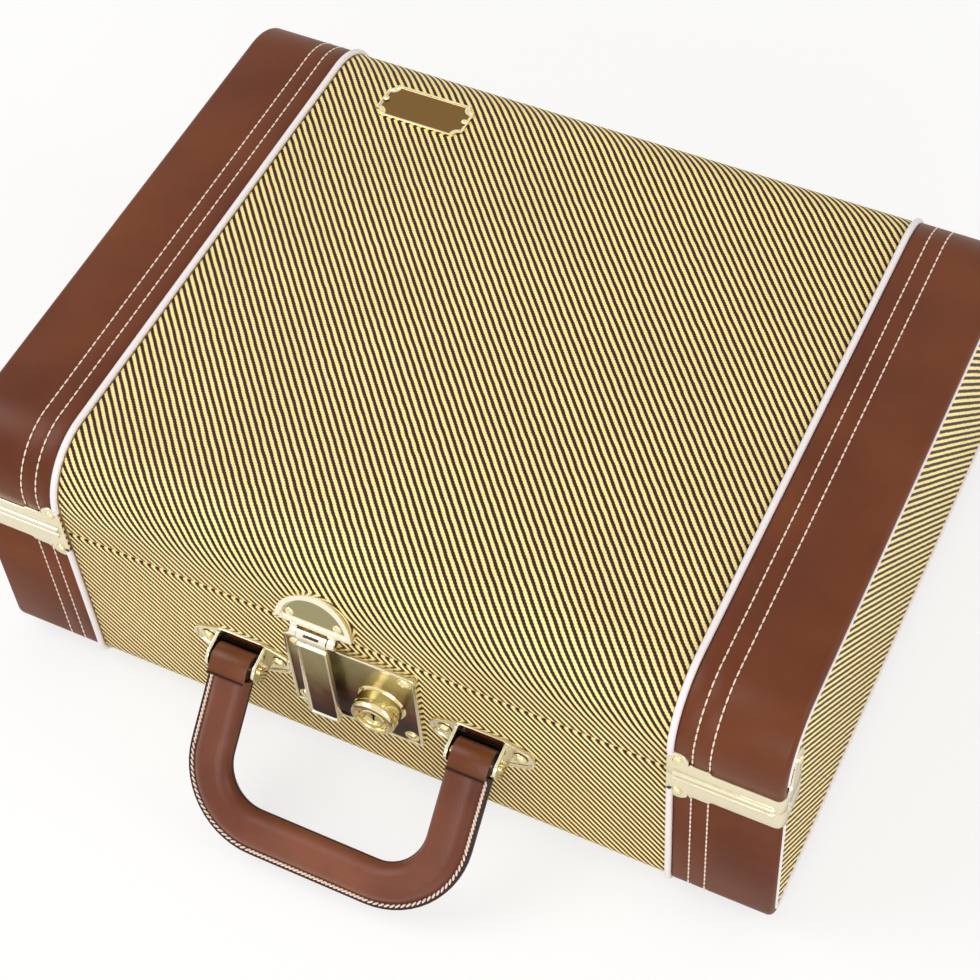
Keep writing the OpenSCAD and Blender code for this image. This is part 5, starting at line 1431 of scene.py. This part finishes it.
at_pivot = Matrix.Translation(pivot)
scale = copies(arc_band(45.6 * mm, 46 * mm, 45, 135), at_pivot)
for i in range(51):
    width, size = (0.35 * mm, 2.2 * mm) if i % 5 else (0.5 * mm, 4 * mm)
    turn = Matrix.Rotation(math.radians(45 - 1.8 * i), 4, "Z")
    join(scale, bar(width, 0, size, print_t),
         at_pivot @ turn @ Matrix.Translation((0, 45.8 * mm, 0)))
for i in range(6):
    turn = Matrix.Rotation(math.radians(45 - 18 * i), 4, "Z")
    lettering(scale, str(20 * i), 4.2 * mm,
              at_pivot @ turn @ Matrix.Translation((0, 52.6 * mm, 0)))
piece("meter_scale", scale, black_ink, "base", crease=80)
for name, code, start, end in (("red", "B8352A", 99, 135), ("yellow", "D9A52C", 85, 99),
                               ("green", "3E7D4A", 45, 85)):
    sector = plain(name + "_ink", code, 0.5 * mm, 0.01 * mm, Roughness=0.6)
    piece(name + "_meter_sector", copies(arc_band(37 * mm, 43 * mm, start, end), at_pivot), sector,
          "base", crease=80)

# %% [markdown]
# ## Knobs and their scales
# A fluted knob: the profile is turned, and the grip's points move in and out with a cosine
# for the flutes. A white line shows where it points. The scales round the knobs and the words
# at the switch are thin fillings in the panel.

# %% Knobs and their scales
def fluted(bm, low_r, high_r, flutes, depth):
    """Moves points between two radii in and out, for flutes round Z."""
    for vert in bm.verts:
        radius = vert.co.xy.length
        if low_r < radius < high_r and vert.co.z > 0.1 * mm:
            angle = math.atan2(vert.co.y, vert.co.x)
            vert.co.xy *= 1 + depth / radius * (math.cos(flutes * angle) - 1) / 2


panel_print = bmesh.new()
knob_rise = 4.4 * mm
for name in ("filament", "circuit", "bias", "load"):
    low, high, mid = over_panel(name + "_knob", knob_rise)
    skirt, grip, tall, shaft = 15 * mm, 11 * mm, high.z - mid.z, 3 * mm
    profile = [(0, low.z - mid.z), (shaft, low.z - mid.z), (shaft, 0), (skirt - 0.4 * mm, 0),
               (skirt, 0.4 * mm), (skirt - 0.2 * mm, 1.6 * mm), (skirt - 1.2 * mm, 2.8 * mm),
               (grip + 0.8 * mm, 3.2 * mm), (grip, 4 * mm), (grip - 0.3 * mm, tall - 2 * mm),
               (grip - 1 * mm, tall - 0.6 * mm), (grip - 2.4 * mm, tall), (6 * mm, tall - 0.5 * mm),
               (0, tall - 0.5 * mm)]
    bm = turned(profile, 96)
    fluted(bm, grip - 2.6 * mm, grip + 0.4 * mm, 16, 1.3 * mm)
    bmesh.ops.translate(bm, verts=bm.verts, vec=mid)
    piece(name + "_fluted_knob", bm, black_moulding, name, [name + "_knob"],
          crease=28)
    bm = bmesh.new()
    for near, far, z in ((3 * mm, 8.4 * mm, tall - 0.45 * mm), (11.9 * mm, 13.6 * mm, 2.9 * mm)):
        join(bm, bar(1 * mm, near, far, 0.3 * mm), Matrix.Translation(mid + Vector((0, 0, z))))
    piece(name + "_pointer", bm, white_ink, name)
    stops = 12 if name == "circuit" else 11
    for i in range(stops):
        turn = Matrix.Translation((mid.x, mid.y, panel_top)) @ Matrix.Rotation(
            -math.radians(30 * i), 4, "Z")
        join(panel_print, bar(0.6 * mm, 16.6 * mm, 18.6 * mm, print_t), turn)
        lettering(panel_print, str(i), 3.2 * mm, turn @ Matrix.Translation((0, 20.9 * mm, 0)))

switch_mid = over_panel("toggle_switch")[2]
for word, step in (("ON", 16 * mm), ("OFF", -16 * mm)):
    lettering(panel_print, word, 4 * mm, Matrix.Translation(switch_mid + Vector((0, step, 0))))
for node in ("socket_octal", "socket_loctal", "socket_miniature", "socket_noval"):
    low, high, mid = over_panel(node)
    radius = (high.x - low.x) / 2
    join(panel_print, arc_band(radius + 2 * mm, radius + 2.5 * mm, 0, 355, 48),
         Matrix.Translation(mid))
piece("panel_filling", panel_print, white_ink, "base", crease=80)

# %% [markdown]
# ## Lamp, fuse and chart window
# The lamp has a turned bezel and a faceted glass jewel. The fuse holder has a knurled cap.
# The chart's window gets a bright frame, made like the frame of the lock plate.

# %% Lamp, fuse and chart window
low, high, mid = over_panel("pilot_lamp")
deep = low.z - panel_top
bm = turned([(0, deep), (6.4 * mm, deep), (6.4 * mm, 0), (8.8 * mm, 0), (8.8 * mm, 1 * mm),
             (8.2 * mm, 2.2 * mm), (7 * mm, 3 * mm), (6.1 * mm, 3 * mm), (5.9 * mm, 1 * mm),
             (0, 1 * mm)], 40)
move(bm, Matrix.Translation(mid))
piece("lamp_bezel", bm, zinc, "base", ["pilot_lamp"])
bm = turned([(0, 1.1 * mm), (5.8 * mm, 1.1 * mm), (5.8 * mm, 3.4 * mm), (4.6 * mm, 5.8 * mm),
             (2.6 * mm, high.z - panel_top), (0, high.z - panel_top)], 10)
bmesh.ops.translate(bm, verts=bm.verts, vec=mid)
piece("lamp_jewel", bm, jewel, "base", crease=5)

low, high, mid = over_panel("fuse_holder")
deep, tall = low.z - panel_top, high.z - panel_top
bm = turned([(0, deep), (6.2 * mm, deep), (6.2 * mm, 0), (8.6 * mm, 0), (8.6 * mm, 1.4 * mm),
             (8 * mm, 2 * mm), (6.4 * mm, 2 * mm), (6 * mm, 2.6 * mm), (6 * mm, tall - 1 * mm),
             (5.2 * mm, tall), (0, tall)], 80)
fluted(bm, 5.5 * mm, 6.1 * mm, 20, 0.5 * mm)
bmesh.ops.translate(bm, verts=bm.verts, vec=mid)
piece("knurled_fuse_holder", bm, black_moulding, "base", ["fuse_holder"],
      crease=28)

paper_low, paper_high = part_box("chart_paper")
frame_mid = (paper_low + paper_high) / 2
chart_len, chart_dep, border = paper_high.x - paper_low.x - 2 * mm, 34 * mm, 6 * mm
bm = window_frame(chart_len + 2 * border, chart_dep + 2 * border, 4 * mm, border, 1.4 * mm,
                  0.4 * mm)
bmesh.ops.translate(bm, verts=bm.verts, vec=(frame_mid.x, frame_mid.y, panel_top))
piece("chart_window_frame", bm, zinc, "base")
